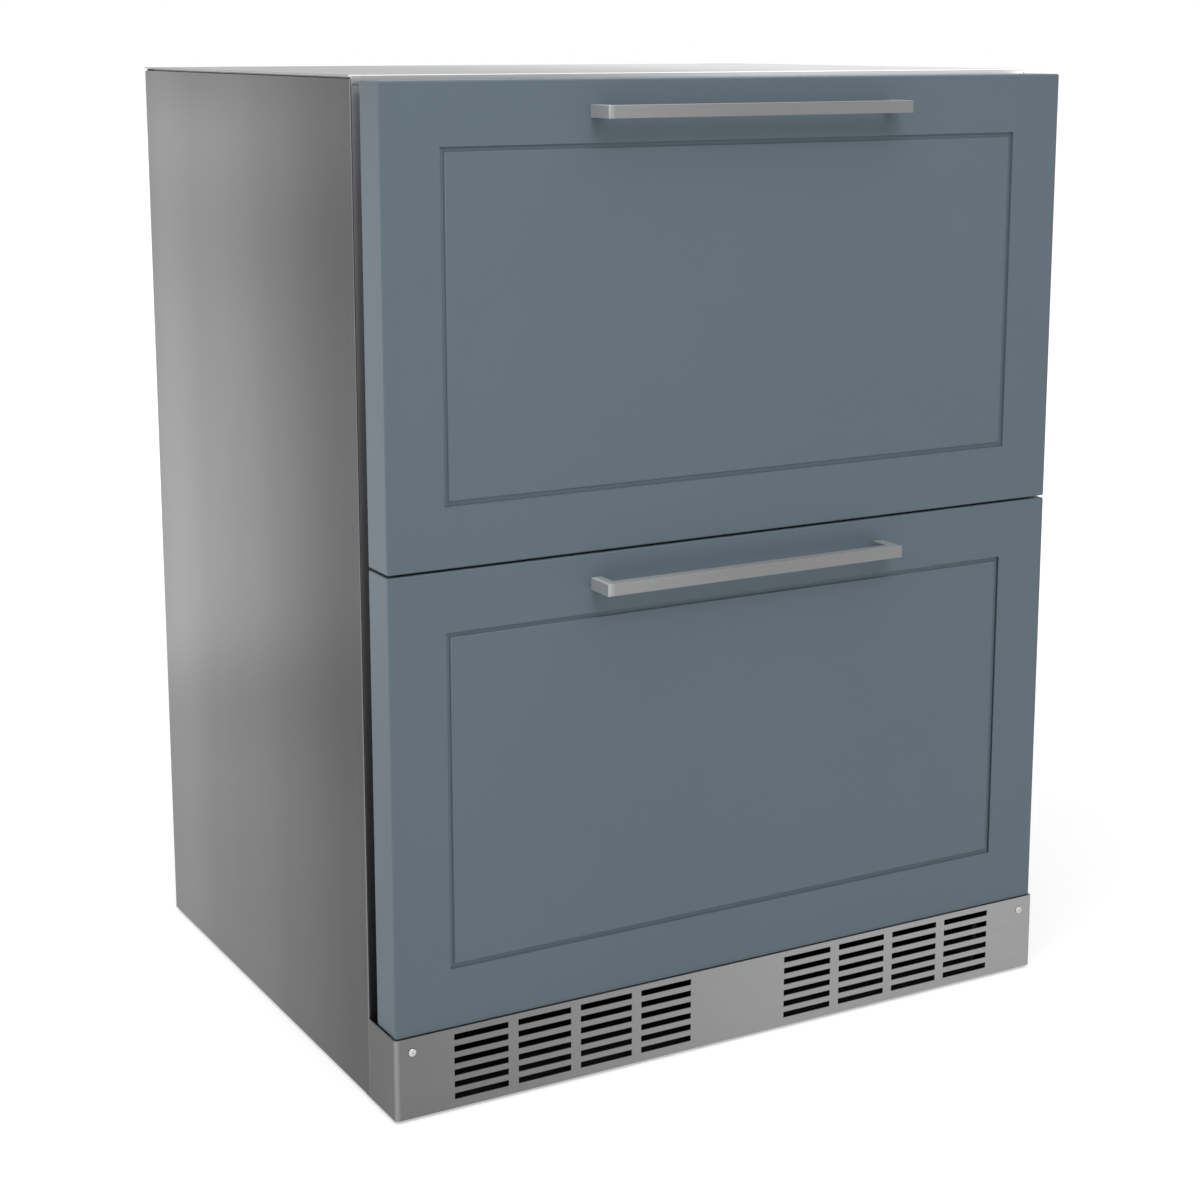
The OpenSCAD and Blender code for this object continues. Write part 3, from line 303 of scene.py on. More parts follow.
def brushed_nickel():
    """Satin nickel under a thin lacquer, with fine grain along the bar. A painted glint makes it
    palest at the left end, painted light pales it where it faces up, and a painted reflection
    varies it along the bar."""
    s = Shader("handle_nickel", Metallic=0.35, Coat_Weight=0.15, Coat_Roughness=0.35)
    grain = s.noise((14.0, 2400.0, 2400.0), detail=3.0, roughness=0.6)
    tone = s.colours(grain, (0.30, (0.268, 0.269, 0.271)), (0.70, (0.322, 0.323, 0.325)))
    facing = s.node("ShaderNodeSeparateXYZ")
    s.link(s.node("ShaderNodeTexCoord").outputs["Normal"], facing.inputs["Vector"])
    # Painted light: paler where the bar faces up
    tone = s.multiply(tone, s.span(facing.outputs["Z"], 1.0, 1.75, 0.15, 0.95))
    # Painted glint on the left end of the bar
    tone = s.multiply(tone, s.painted_light_drift(X, BAR_END_LEFT, BAR_END_RIGHT, 1.99, 1.50, 1.00))
    # Painted reflection along the bar: palest at the left, dimmest in the middle
    tone = s.multiply(tone, s.painted_light_drift(X, BAR_LEFT, BAR_RIGHT, 0.90, 0.70, 0.68, 0.74))
    s.base(tone)
    s.rough(s.span(grain, 0.36, 0.46))
    s.bumps((grain, 0.12, 0.00004))
    return s.material


def zinc_sheet():
    """Zinc coated sheet with its spangle of flat crystals."""
    level = 0.47
    s = Shader("zinc_sheet", Metallic=0.9)
    crystal = s.cells(120.0)
    fine = s.noise(700.0)
    dull, bright = shade(level * 0.92, (0.98, 0.99, 1.0)), shade(level * 1.05, (0.98, 1.0, 1.01))
    tone = s.colours(crystal["Color"], (0.0, dull), (1.0, bright))
    s.base(s.multiply(tone, s.colours(fine, (0.2, shade(0.93)), (0.8, shade(1.0)))))
    s.rough(s.span(crystal["Distance"], 0.42, 0.52, 0.0, 0.6))
    s.bumps((fine, 0.06, 0.0001))
    return s.material


def moulded(name, colour, roughness, texture, depth=0.15):
    """Moulded plastic or rubber with a spark-eroded texture."""
    s = Shader(name)
    fine = s.noise(texture)
    cloud = s.noise(6.0, detail=3.0)
    s.base(s.colours(cloud, (0.30, shade(0.95, colour)), (0.70, shade(1.03, colour))))
    s.rough(s.span(cloud, roughness - 0.03, roughness + 0.03))
    s.bumps((fine, depth, 0.0001))
    return s.material


def enamel(name, colour, roughness, painted_shade_rise=(1.0, 1.0)):
    """Baked paint on steel, with orange peel and a little dust. Its rise is painted shade and
    light:
    the tone at the floor and at the top of the cabinet."""
    s = Shader(name)
    peel = s.noise(260.0, detail=1.0)
    dust = s.noise(18.0, detail=5.0, roughness=0.65)
    # Painted shade towards the floor and painted light towards the top, eased with height
    height = s.span(s.along(Z), 0.0, 1.0, 0.0, CABINET_TOP)
    tone = s.span(s.maths("POWER", height, 1.5), painted_shade_rise[0], painted_shade_rise[1])
    dusty = tuple(part * 1.12 + 0.01 for part in colour)
    s.base(s.multiply(s.colours(dust, (0.35, colour), (0.80, dusty)), tone))
    s.rough(s.span(dust, roughness - 0.04, roughness + 0.10))
    s.bumps((peel, 0.15, 0.0003))
    return s.material


def bare_metal(name, colour, roughness, scale=300.0):
    """Drawn or plated metal with small streaks and dulled patches."""
    s = Shader(name, Metallic=1.0)
    streak = s.noise(scale, detail=3.0)
    patch = s.noise(25.0, detail=4.0)
    tone = s.colours(patch, (0.30, shade(0.86, colour)), (0.70, colour))
    s.base(s.multiply(tone, s.colours(streak, (0.2, shade(0.92)), (0.8, shade(1.0)))))
    s.rough(s.span(patch, roughness - 0.05, roughness + 0.08))
    s.bumps((streak, 0.08, 0.00008))
    return s.material


def foam():
    """Cut face of rigid foam: small closed cells."""
    s = Shader("foam")
    cell = s.cells(420.0)
    cloud = s.noise(20.0, detail=4.0)
    s.base(s.colours(cloud, (0.30, (0.72, 0.62, 0.36)), (0.70, (0.80, 0.71, 0.46))))
    s.rough(s.span(cloud, 0.80, 0.92))
    s.bumps((cell["Distance"], 0.5, 0.0008))
    return s.material


def opal_lens():
    """Milky lens of the lamp, with fine ribs."""
    s = Shader("opal_lens", Transmission_Weight=0.25, IOR=1.49)
    prism = s.noise((260.0, 8.0, 8.0), detail=1.0)
    s.base(s.colours(prism, (0.30, (0.80, 0.83, 0.85)), (0.70, (0.88, 0.90, 0.92))))
    s.rough(s.span(prism, 0.22, 0.32))
    s.bumps((prism, 0.2, 0.0004))
    return s.material


def smoked_window():
    """Smoked acrylic: a glossy face over a faint grey-blue tint."""
    s = Shader("smoked_window", Coat_Weight=0.8, Coat_Roughness=0.04)
    dots = s.noise(1500.0, detail=1.0)
    s.base(s.colours(dots, (0.30, (0.030, 0.040, 0.050)), (0.70, (0.036, 0.048, 0.060))))
    s.rough(s.span(dots, 0.08, 0.12))
    return s.material


MATERIALS = {
    # Painted reflection and shade: paler towards the rear, and varying with height
    "side_steel": brushed_steel(
        "side_steel", 0.20, Z, (Y, SIDE_FRONT, SIDE_REAR, 0.74, 0.96, 1.22, 1.44),
        (Z, 0.0, CABINET_TOP, 1.46, 1.34, 1.33, 1.10, 1.05, 1.02, 0.97, 0.87, 1.36), band=0.04),
    # Painted highlight: paler towards the right and on the front fold
    "deck_steel": brushed_steel(
        "deck_steel", 0.64, X, (X, SHEET_LEFT, SHEET_RIGHT, 0.50, 0.50, 0.74, 1.14, 1.06),
        (Y, FOLD_FRONT, FOLD_REAR, 1.99, 1.60, 1.25, 1.00), roughness=0.38, edge=1.0),
    # Painted reflection: darker at the left, and a painted highlight on the left corner fold
    "grille_steel": brushed_steel(
        "grille_steel", 0.29, X, (X, SHEET_LEFT, SHEET_RIGHT, 0.54, 0.90, 1.10, 1.10),
        (X, CORNER_LEFT, CORNER_RIGHT, 1.35, 1.65, 1.40, 1.00), roughness=0.38, band=0.03),
    "front_paint": front_paint(),
    "handle_nickel": brushed_nickel(),
    "zinc_sheet": zinc_sheet(),
    "runner_zinc": bare_metal("runner_zinc", (0.60, 0.61, 0.63), 0.32, (500.0, 20.0, 500.0)),
    "screw_zinc": bare_metal("screw_zinc", (0.62, 0.62, 0.63), 0.26),
    "copper": bare_metal("copper", (0.66, 0.33, 0.19), 0.30),
    "fin_aluminium": bare_metal("fin_aluminium", (0.76, 0.77, 0.78), 0.36),
    # Painted shade darkens it towards the floor and painted light pales it towards the top
    "face_enamel": enamel("face_enamel", (0.15, 0.15, 0.155), 0.42, (0.03, 1.5)),
    "pan_enamel": enamel("pan_enamel", (0.016, 0.016, 0.017), 0.50),
    "compressor_enamel": enamel("compressor_enamel", (0.018, 0.018, 0.020), 0.28),
    "coil_enamel": enamel("coil_enamel", (0.022, 0.022, 0.022), 0.45),
    "motor_enamel": enamel("motor_enamel", (0.055, 0.056, 0.060), 0.40),
    "gasket_rubber": moulded("gasket_rubber", (0.018, 0.019, 0.021), 0.62, 1200.0),
    "black_rubber": moulded("black_rubber", (0.020, 0.020, 0.021), 0.72, 900.0),
    "black_plastic": moulded("black_plastic", (0.024, 0.024, 0.026), 0.48, 1100.0),
    "liner_plastic": moulded("liner_plastic", (0.78, 0.80, 0.81), 0.32, 500.0, 0.05),
    "tub_plastic": moulded("tub_plastic", (0.66, 0.68, 0.69), 0.38, 1300.0, 0.08),
    "core_plastic": moulded("core_plastic", (0.72, 0.73, 0.75), 0.36, 500.0, 0.06),
    "white_plastic": moulded("white_plastic", (0.76, 0.77, 0.79), 0.40, 1200.0, 0.10),
    "button_plastic": moulded("button_plastic", (0.44, 0.45, 0.47), 0.30, 1500.0, 0.05),
    "foam": foam(),
    "opal_lens": opal_lens(),
    "smoked_window": smoked_window(),
}

# ---- Mesh helpers ----


def weld(mesh):
    bmesh.ops.remove_doubles(mesh, verts=mesh.verts, dist=WELD)


def cad_mesh(node):
    """The welded mesh of a CAD node, with each flat face in one piece."""
    mesh = bmesh.new()
    mesh.from_mesh(frame["nodes"][node].data)
    weld(mesh)
    bmesh.ops.dissolve_limit(
        mesh, angle_limit=math.radians(0.5), verts=mesh.verts, edges=mesh.edges, delimit=set())
    return mesh


def middle(edge):
    return (edge.verts[0].co + edge.verts[1].co) / 2


def touches(value, target):
    return abs(value - target) < TOUCH


def runs_along(edge, axis):
    step = edge.verts[1].co - edge.verts[0].co
    return abs(step[axis]) > 0.98 * step.length


def round_edges(mesh, width, segments=2, pick=lambda edge: True, sharper_than=30.0):
    """Rounds the sharp edges that pick accepts."""
    def is_sharp(edge):
        joins_two = len(edge.link_faces) == 2
        return joins_two and edge.calc_face_angle(0.0) > math.radians(sharper_than)

    bmesh.ops.bevel(
        mesh, geom=[edge for edge in mesh.edges if is_sharp(edge) and pick(edge)],
        offset=width, offset_type="OFFSET", segments=segments, profile=0.5,
        affect="EDGES", clamp_overlap=True, miter_outer="ARC" if segments > 2 else "SHARP")


def finish_piece(mesh, name, node, material, smooth_below=35.0):
    """Turns a mesh into a piece that takes the place of a CAD node."""
    bmesh.ops.recalc_face_normals(mesh, faces=mesh.faces)
    data = bpy.data.meshes.new(name)
    mesh.to_mesh(data)
    mesh.free()
    for polygon in data.polygons:
        polygon.use_smooth = True
    data.set_sharp_from_angle(angle=math.radians(smooth_below))
    data.materials.append(MATERIALS[material])
    piece = bpy.data.objects.new(name, data)
    bpy.context.scene.collection.objects.link(piece)
    weighted = piece.modifiers.new("weighted", "WEIGHTED_NORMAL")
    weighted.keep_sharp = True
    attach(piece, body_of(node))
    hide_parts(node)


def body_of(node):
    return frame["nodes"][node]["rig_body"]


def rounded(node, material, width, segments=2, sharper_than=30.0):
    """A copy of a node with rounded edges, in the node's place."""
    mesh = cad_mesh(node)
    round_edges(mesh, width, segments, sharper_than=sharper_than)
    finish_piece(mesh, node + "_body", node, material)


def dress(material, *nodes):
    """Gives CAD nodes whose shape is right their material."""
    for node in nodes:
        slots = frame["nodes"][node].data.materials
        slots.clear()
        slots.append(MATERIALS[material])


def loops_to_faces(mesh, loops, cyclic=False):
    """Bridges loops of points, each closed in itself. The last loop joins the first where cyclic
    is set, and otherwise both are filled."""
    rings = [[mesh.verts.new(point) for point in loop] for loop in loops]
    count = len(rings[0])
    pairs = list(zip(rings, rings[1:]))
    if cyclic:
        pairs.append((rings[-1], rings[0]))
    for near, far in pairs:
        for i in range(count):
            j = (i + 1) % count
            mesh.faces.new((near[i], near[j], far[j], far[i]))
    if not cyclic:
        mesh.faces.new(list(reversed(rings[0])))
        mesh.faces.new(rings[-1])


def rounded_rectangle(centre, half, radius, steps=5):
    """Points round a rectangle with round corners, in the plane of its two coordinates."""
    points = []
    radius = max(radius, TOUCH)
    for corner, (side_x, side_y) in enumerate(((1, 1), (-1, 1), (-1, -1), (1, -1))):
        middle_x = centre[0] + side_x * (half[0] - radius)
        middle_y = centre[1] + side_y * (half[1] - radius)
        for step in range(steps + 1):
            turn = math.radians(90 * corner + 90 * step / steps)
            points.append((middle_x + radius * math.cos(turn), middle_y + radius * math.sin(turn)))
    return points


def extrude_outline(mesh, outline, low, high):
    """A prism of an outline between two heights."""
    loops_to_faces(mesh, [[(x, y, z) for x, y in outline] for z in (low, high)])


def lathe(mesh, profile, matrix):
    """Turns a profile of radius and height about Z, then places it. Both its ends lie on Z."""
    steps = 32
    turns = [2 * math.pi * i / steps for i in range(steps)]
    rings = []
    for radius, height in profile[1:-1]:
        points = [(radius * math.cos(turn), radius * math.sin(turn), height) for turn in turns]
        rings.append([mesh.verts.new(matrix @ Vector(point)) for point in points])
    for near, far in zip(rings, rings[1:]):
        for i in range(steps):
            j = (i + 1) % steps
            mesh.faces.new((near[i], near[j], far[j], far[i]))
    for ring, end, flip in ((rings[0], profile[0], True), (rings[-1], profile[-1], False)):
        tip = mesh.verts.new(matrix @ Vector((0, 0, end[1])))
        for i in range(steps):
            j = (i + 1) % steps
            mesh.faces.new((ring[j], ring[i], tip) if flip else (ring[i], ring[j], tip))


def island_centres(mesh):
    """The middle of the box round each island of a mesh."""
    seen = set()
    centres = []
    for vert in mesh.verts:
        if vert in seen:
            continue
        island, queue = [], [vert]
        while queue:
            found = queue.pop()
            if found in seen:
                continue
            seen.add(found)
            island.append(found)
            queue += [edge.other_vert(found) for edge in found.link_edges]
        sides = [[found.co[axis] for found in island] for axis in (X, Y, Z)]
        centres.append([(min(side) + max(side)) / 2 for side in sides])
    return centres


# ---- Cabinet ----


def side_panel(node, sign):
    """Folded sheet: a hemmed front edge, a flat side and a rear flange."""
    low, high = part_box(node)
    sheet = 1.2 * MM
    hem_l, hem_t = 9 * MM, 2.0 * MM
    # How far the flat side lies in from the hem, and the flange's face from the rear edge
    step, flange_inset = 0.45 * MM, 4.2 * MM
    nose = hem_t / 2
    outer = max(abs(low.x), abs(high.x))
    skin = outer - step
    inner = skin - sheet
    hem_y = low.y + hem_l
    flange_x = min(abs(low.x), abs(high.x))
    flange_y = high.y - flange_inset
    nose_steps = 8
    outline = []
    for i in range(nose_steps + 1):
        turn = math.radians(-180 * i / nose_steps)
        outline.append((outer - nose + nose * math.cos(turn), low.y + nose + nose * math.sin(turn)))
    outline += [
        (outer - hem_t, hem_y), (inner, hem_y + step), (inner, flange_y - sheet),
        (flange_x, flange_y - sheet), (flange_x, flange_y), (skin - 1.5 * sheet, flange_y),
        (inner, flange_y + sheet / 2), (inner, high.y - nose / 2), (skin - sheet / 2, high.y),
        (skin, high.y - nose / 2), (skin, hem_y + step), (outer, hem_y),
    ]
    mesh = bmesh.new()
    extrude_outline(mesh, [(sign * x, y) for x, y in outline], low.z, high.z)
    finish_piece(mesh, node + "_sheet", node, "side_steel", smooth_below=50.0)


def top_deck():
    """The top sheet, folded down at the front over a full round edge."""
    low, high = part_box("top_panel")

    def front_fold(edge):
        at = middle(edge)
        return runs_along(edge, X) and touches(at.y, low.y) and touches(at.z, high.z)

    mesh = cad_mesh("top_panel")
    round_edges(mesh, 3.0 * MM, 5, pick=front_fold)
    round_edges(mesh, 0.5 * MM)
    finish_piece(mesh, "top_panel_body", "top_panel", "deck_steel")


def kick_grille():
    """Folded front sheet: round folds at its two corners and softened slot edges."""
    low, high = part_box("kick_grille")
    sheet = 1.2 * MM
    fold = 3.0 * MM

    def corner(edge, inset):
        at = middle(edge)
        in_place = touches(abs(at.x), high.x - inset) and touches(at.y, low.y + inset)
        return runs_along(edge, Z) and in_place

    mesh = cad_mesh("kick_grille")
    round_edges(mesh, fold, 5, pick=lambda edge: corner(edge, 0.0))
    round_edges(mesh, fold - sheet, 3, pick=lambda edge: corner(edge, sheet))
    round_edges(mesh, 0.2 * MM, 1, sharper_than=60.0)
    finish_piece(mesh, "kick_grille_sheet", "kick_grille", "grille_steel")


def back_panel():
    """The rear sheet, with three shallow beads pressed outward to stiffen it."""
    mesh = cad_mesh("back_panel")
    round_edges(mesh, 0.3 * MM, 1, sharper_than=60.0)
    low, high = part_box("back_panel")
    half_l, half_w, radius = 0.230, 0.009, 0.008
    # Inset and height of the rings that make up a bead
    rings = (
        (0.0, -0.5 * MM), (0.0, 0.0), (1.6 * MM, 1.2 * MM), (4.0 * MM, 1.9 * MM),
        (6.5 * MM, 2.0 * MM),
    )
    # Where each bead runs, as a share of the sheet's height
    for share in (0.30, 0.50, 0.70):
        centre = (0.0, low.z + share * (high.z - low.z))
        loops = []
        for inset, height in rings:
            ring = rounded_rectangle(centre, (half_l - inset, half_w - inset), radius - inset)
            loops.append([(x, high.y + height, z) for x, z in ring])
        loops_to_faces(mesh, loops)
    finish_piece(mesh, "back_panel_sheet", "back_panel", "zinc_sheet")


def screws():
    """Domed heads with a cross recess: two on the grille, six on the rear cover."""
    grille_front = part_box("kick_grille")[0].y
    cover_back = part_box("rear_service_cover")[1].y
    source = bmesh.new()
    source.from_mesh(frame["nodes"]["cabinet_screws"].data)
    weld(source)
    places = island_centres(source)
    source.free()
    head_r, head_h = 3.6 * MM, 2.0 * MM
    stem_r, stem_l, point_l = 1.9 * MM, 7.0 * MM, 0.6 * MM
    spoke_w, spoke_h, spoke_sunk = 0.75 * MM, 0.06 * MM, 0.02 * MM
    # The dome ends on a straight rim, whose share of the head's height is rim
    rim, dome = 0.35, 0.65
    profile = [(0, head_h)]
    for degrees in range(15, 105, 15):
        angle = math.radians(degrees)
        profile.append((head_r * math.sin(angle), head_h * (rim + dome * math.cos(angle))))
    profile += [
        (head_r, 0.0), (stem_r, 0.0), (stem_r, -stem_l + point_l), (stem_r * 0.6, -stem_l),
        (0, -stem_l),
    ]
    profile.reverse()
    mesh = bmesh.new()
    for x, y, z in places:
        at_front = y < 0
        seat = grille_front if at_front else cover_back
        turn = Matrix.Rotation(math.radians(90 if at_front else -90), 4, "X")
        matrix = Matrix.Translation((x, seat, z)) @ turn
        lathe(mesh, profile, matrix)
        for degrees in (20, 110):
            spoke = Matrix.Rotation(math.radians(degrees), 4, "Z")
            recess = bmesh.ops.create_cube(mesh, size=1.0)["verts"]
            shape = Matrix.Diagonal((head_r * 1.15, spoke_w, spoke_h, 1.0))
            lift = Matrix.Translation((0, 0, head_h - spoke_sunk))
            bmesh.ops.transform(mesh, matrix=matrix @ lift @ spoke @ shape, verts=recess)
    finish_piece(mesh, "cabinet_screw_heads", "cabinet_screws", "screw_zinc")


# ---- Drawers ----


def front(level):
    """Stiles and rails with soft outer edges round a flat field, and the groove between them."""
    node = level + "_panel_frame"
    low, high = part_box(node)

    def outer(edge):
        at = middle(edge)
        beside = touches(at.x, low.x) or touches(at.x, high.x)
        return beside or touches(at.z, low.z) or touches(at.z, high.z)

    def on_face(edge):
        return middle(edge).y < low.y + TOUCH

    def rim(edge):
        return outer(edge) and (on_face(edge) or runs_along(edge, Y))

    def groove_lip(edge):
        return not outer(edge) and on_face(edge)

    def grille_side(edge):
        return level == "lower" and touches(middle(edge).z, low.z)

    rim_r, grille_side_r, lip_r = 1.6 * MM, 0.5 * MM, 1.3 * MM
    mesh = cad_mesh(node)
    round_edges(mesh, rim_r, 4, pick=lambda edge: rim(edge) and not grille_side(edge))
    round_edges(
        mesh, grille_side_r, pick=lambda edge: rim(edge) and grille_side(edge), sharper_than=60.0)
    round_edges(mesh, lip_r, 4, pick=groove_lip)
    finish_piece(mesh, level + "_stiles_and_rails", node, "front_paint")
    node = level + "_panel_centre"
    mesh = cad_mesh(node)
    front_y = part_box(node)[0].y
    round_edges(mesh, lip_r, 4, pick=lambda edge: middle(edge).y < front_y + TOUCH)
    finish_piece(mesh, level + "_front_field", node, "front_paint")


def gasket(level):
    """A magnetic gasket: a flange on the front, folded bellows and a magnet tube at the cabinet."""
    node = level + "_gasket"
    low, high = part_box(node)
    width = 30 * MM
    depth = high.y - low.y
    corner, tightest, corner_steps = 6 * MM, 1.5 * MM, 3
    # Shares of the width, from the inner edge out, and of the depth, from the front back
    fold = [
        (1.00, 0.00), (1.00, 0.12), (0.80, 0.20), (0.80, 0.30), (0.93, 0.40), (0.80, 0.50),
        (0.80, 0.58), (0.97, 0.66), (1.00, 0.78), (0.97, 0.94), (0.90, 1.00),
    ]
    section = fold + [(1 - u, v) for u, v in reversed(fold)]
    centre = ((low.x + high.x) / 2, (low.z + high.z) / 2)
    half = ((high.x - low.x) / 2, (high.z - low.z) / 2)
    loops = []
    for u, v in section:
        inset = (1 - u) * width
        radius = max(corner - inset, tightest)
        ring = rounded_rectangle(centre, (half[0] - inset, half[1] - inset), radius, corner_steps)
        loops.append([(x, low.y + v * depth, z) for x, z in ring])
    mesh = bmesh.new()
    loops_to_faces(mesh, loops, cyclic=True)
    finish_piece(mesh, level + "_gasket_profile", node, "gasket_rubber")


def tub(level):
    """A moulded tub: round corners, a rolled lip and beads along its walls."""
    node = level + "_drawer_box"
    low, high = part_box(node)
    lip, wall = 6 * MM, 2.5 * MM
    corner, tightest, corner_steps = 14 * MM, 2 * MM, 6
    bead_out, bead_h = 0.9 * MM, 5 * MM
    centre = (0.0, (low.y + high.y) / 2)
    half = (high.x - lip, (high.y - low.y) / 2)
    # The wall's section: how far out from its outer face, and how high
    outside = [
        (-wall * 3.0, low.z), (-wall * 1.2, low.z + 0.8 * MM),
        (-0.2 * wall, low.z + 3 * MM), (0.0, low.z + 7 * MM),
    ]
    inside = [
        (-wall, low.z + 7.5 * MM), (-1.3 * wall, low.z + 4.5 * MM),
        (-2.2 * wall, low.z + 3 * MM), (-3.6 * wall, low.z + wall),
    ]
    beads_out, beads_in = [], []
    # Where each bead runs, as a share of the tub's height
    for share in (0.30, 0.36, 0.42):
        z = low.z + share * (high.z - low.z)
        bead = [
            (0.0, z - bead_h), (-bead_out, z - bead_h / 3), (-bead_out, z + bead_h / 3),
            (0.0, z + bead_h),
        ]
        beads_out += bead
        beads_in += [(out - wall, at) for out, at in bead]
    rim_out = [
        (0.0, high.z - 5.0 * MM), (lip - 1.0 * MM, high.z - 4.0 * MM), (lip, high.z - 3.2 * MM),
        (lip, high.z - 1.2 * MM), (lip - 1.2 * MM, high.z),
    ]
    rim_in = [(-wall + 1.2 * MM, high.z), (-wall, high.z - 1.4 * MM)]
    loops = []
    for out, z in outside + beads_out + rim_out + rim_in + list(reversed(beads_in)) + inside:
        # The lip stands out at the sides only
        reach = (half[0] + out, half[1] + min(out, 0.0))
        ring = rounded_rectangle(centre, reach, max(corner + out, tightest), corner_steps)
        loops.append([(x, y, z) for x, y in ring])
    mesh = bmesh.new()
    loops_to_faces(mesh, loops)
    finish_piece(mesh, level + "_tub", node, "tub_plastic")


def drawers():
    """Both drawers and the runners that carry them."""
    for level in ("upper", "lower"):
        front(level)
        gasket(level)
        tub(level)
        rounded(level + "_handle", "handle_nickel", 2.2 * MM, 5)
        rounded(level + "_front_core", "core_plastic", 2.5 * MM, 3, sharper_than=60.0)
        dress("screw_zinc", level + "_handle_screws")
        dress("runner_zinc", level + "_drawer_runners", level + "_middle_runners")
        dress("runner_zinc", level + "_cabinet_runner_left", level + "_cabinet_runner_right")


def cabinet():
    """The cabinet's sheets, insulation and liner, with the screws, legs and cord gland."""
    side_panel("side_panel_left", -1)
    side_panel("side_panel_right", 1)
    top_deck()
    kick_grille()
    screws()
    back_panel()
    rounded("rear_service_cover", "zinc_sheet", 0.2 * MM, 1, sharper_than=60.0)
    rounded("base_pan", "pan_enamel", 0.3 * MM, 1, sharper_than=60.0)
    rounded("face_frame", "face_enamel", 0.3 * MM, 1)
    rounded("centre_mullion", "face_enamel", 1.0 * MM)
    rounded("inner_liner", "liner_plastic", 0.8 * MM, sharper_than=60.0)
    dress("zinc_sheet", "compartment_deck")
    dress("foam", "foam_insulation")
    for corner in ("front_left", "front_right", "rear_left", "rear_right"):
        dress("black_plastic", "leg_" + corner)
    dress("black_rubber", "mains_gland")


def machinery():
    """The cooling circuit and its two fans."""
    dress("compressor_enamel", "compressor")
    dress("black_rubber", "compressor_grommets")
    dress("coil_enamel", "condenser_coil")
    dress("zinc_sheet", "condenser_fan_bracket")
    dress("motor_enamel", "condenser_fan_motor", "evaporator_fan_motor")
    dress("black_plastic", "condenser_fan_blade", "drain_pan")
    dress("copper", "refrigerant_lines", "filter_drier")
    dress("fin_aluminium", "evaporator_coil")
    dress("white_plastic", "evaporator_fan_blade")
    rounded("evaporator_cover", "white_plastic", 0.4 * MM, sharper_than=60.0)


def controls():
    """The control strip over the upper drawer, and the lamp."""
    rounded("control_housing", "black_plastic", 1.2 * MM, 3, sharper_than=60.0)
    dress("smoked_window", "display_window")
    for button in ("power", "cooler", "warmer"):
        dress("button_plastic", button + "_button")
    rounded("lamp_lens", "opal_lens", 1.5 * MM, 3)


# ---- Scene ----

FLOOR_SIDE = 40.0
FLOOR_GREY = 0.80
# The floor near the object shows its shadow, and further out it melts into the white background
NEAR_RADIUS, FAR_RADIUS = 0.7, 2.4
NEAR_GLOW, FAR_GLOW = 0.45, 0.80
# The light from all round: place on the way from straight down to straight up, and colour
SKY_LOW = (0.45, (0.40, 0.40, 0.40))
SKY_HIGH = (0.90, (0.85, 0.85, 0.86))
SKY_STRENGTH = 0.62
SUBJECT = (0.0, 0.0, 0.45)
# Each lamp's name, place, target, size in metres and watts
LAMPS = (
    ("overhead", (-0.3, -0.9, 3.0), SUBJECT, (3.2, 3.2), 35),
    ("front_key", (-0.5, -2.6, 2.5), SUBJECT, (0.8, 0.8), 20),
    ("left_key", (-2.6, -1.1, 1.2), SUBJECT, (1.6, 1.8), 12),
    ("left_rear", (-0.68, 0.86, 0.46), (-0.34, 0.15, 0.46), (0.16, 0.72), 1.0),
)


def shows_background(tree):
    """A value that is 1 for what the camera, a gloss or a clear material sees."""
    path = tree.nodes.new("ShaderNodeLightPath")
    seen = path.outputs["Is Camera Ray"]
    for ray in ("Is Glossy Ray", "Is Transmission Ray"):
        either = tree.nodes.new("ShaderNodeMath")
        either.operation = "MAXIMUM"
        tree.links.new(seen, either.inputs[0])
        tree.links.new(path.outputs[ray], either.inputs[1])
        seen = either.outputs["Value"]
    return seen


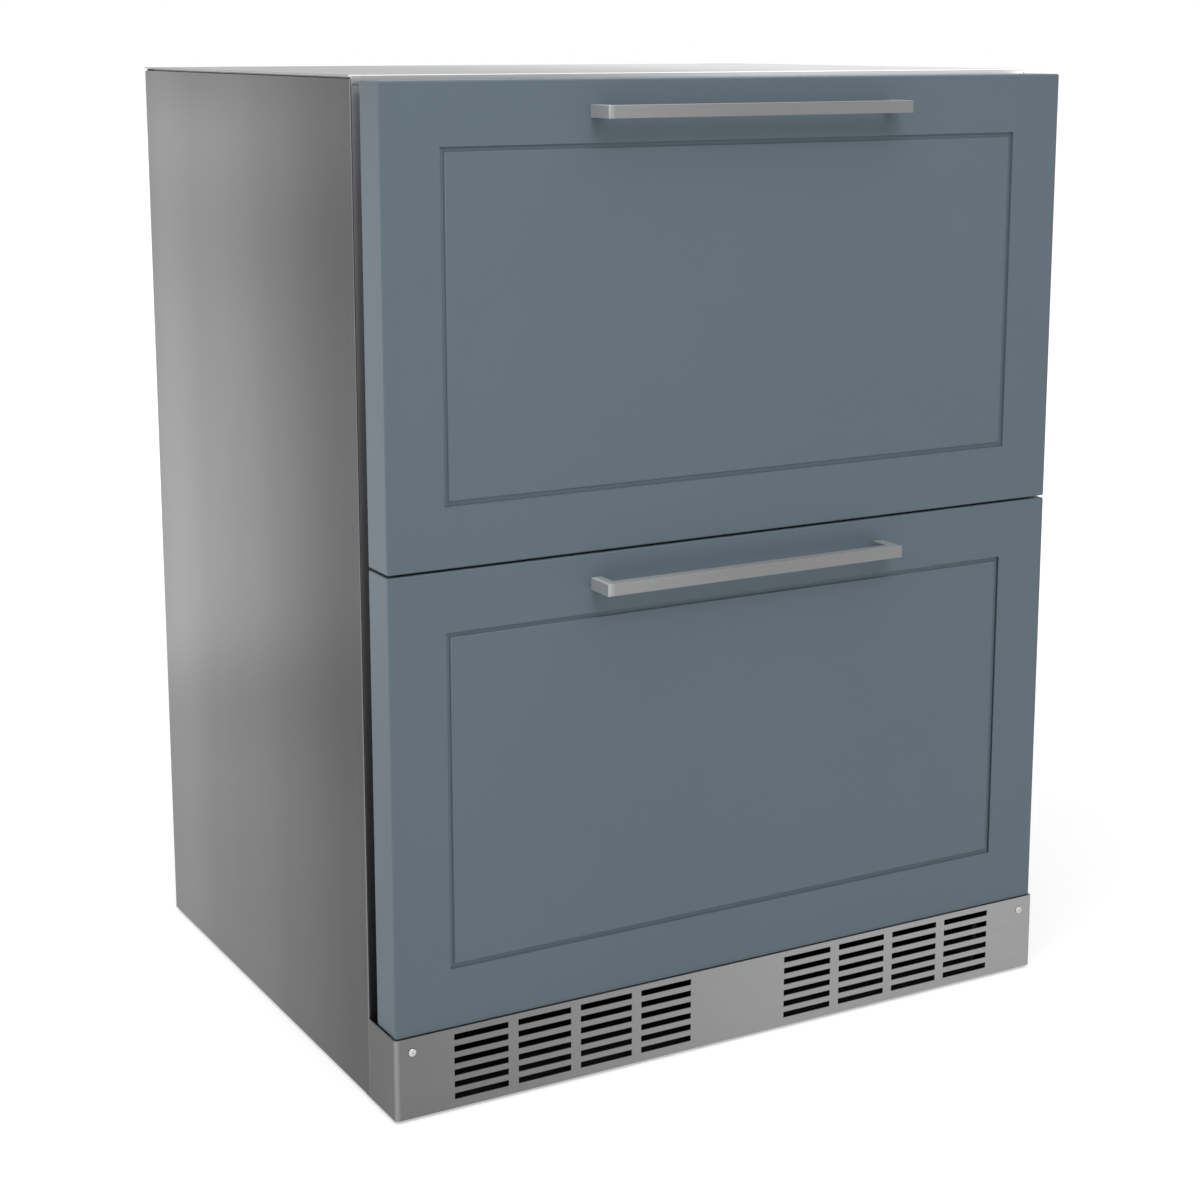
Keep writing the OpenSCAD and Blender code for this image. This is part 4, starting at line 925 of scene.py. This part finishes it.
def floor():
    """A pale floor that keeps the shadow and melts into the white background."""
    mesh = bmesh.new()
    bmesh.ops.create_grid(mesh, x_segments=2, y_segments=2, size=FLOOR_SIDE / 2)
    data = bpy.data.meshes.new("floor")
    mesh.to_mesh(data)
    mesh.free()
    plane = bpy.data.objects.new("floor", data)
    bpy.context.scene.collection.objects.link(plane)
    s = Shader("floor", Roughness=0.9, Specular_IOR_Level=0.0)
    s.principled.inputs["Base Color"].default_value = (*shade(FLOOR_GREY), 1.0)
    s.principled.inputs["Emission Color"].default_value = (1, 1, 1, 1)
    distance = s.node("ShaderNodeVectorMath", operation="LENGTH")
    s.link(s.place(), distance.inputs[0])
    glow = s.span(distance.outputs["Value"], NEAR_GLOW, FAR_GLOW, NEAR_RADIUS, FAR_RADIUS)
    shown = s.maths("MULTIPLY", shows_background(s.tree), glow)
    s.link(shown, s.principled.inputs["Emission Strength"])
    data.materials.append(s.material)


def world():
    """Soft light from all round, brightest overhead, in front of a white background."""
    made = bpy.data.worlds.new("studio")
    bpy.context.scene.world = made
    made.use_nodes = True
    tree = made.node_tree
    tree.nodes.clear()
    output = tree.nodes.new("ShaderNodeOutputWorld")
    light = tree.nodes.new("ShaderNodeBackground")
    white = tree.nodes.new("ShaderNodeBackground")
    mix = tree.nodes.new("ShaderNodeMixShader")
    coordinates = tree.nodes.new("ShaderNodeTexCoord")
    split = tree.nodes.new("ShaderNodeSeparateXYZ")
    ramp = tree.nodes.new("ShaderNodeValToRGB")
    span = tree.nodes.new("ShaderNodeMapRange")
    span.inputs["From Min"].default_value = -1.0
    for element, (position, colour) in zip(ramp.color_ramp.elements, (SKY_LOW, SKY_HIGH)):
        element.position = position
        element.color = (*colour, 1)
    tree.links.new(coordinates.outputs["Generated"], split.inputs["Vector"])
    tree.links.new(split.outputs["Z"], span.inputs["Value"])
    tree.links.new(span.outputs["Result"], ramp.inputs["Fac"])
    tree.links.new(ramp.outputs["Color"], light.inputs["Color"])
    light.inputs["Strength"].default_value = SKY_STRENGTH
    white.inputs["Color"].default_value = (1, 1, 1, 1)
    tree.links.new(shows_background(tree), mix.inputs["Fac"])
    tree.links.new(light.outputs["Background"], mix.inputs[1])
    tree.links.new(white.outputs["Background"], mix.inputs[2])
    tree.links.new(mix.outputs["Shader"], output.inputs["Surface"])


def lights():
    for lamp in LAMPS:
        add_area_light(*lamp)


add_camera()
world()
lights()
floor()
cabinet()
machinery()
controls()
drawers()

bpy.context.scene.view_settings.view_transform = "Standard"
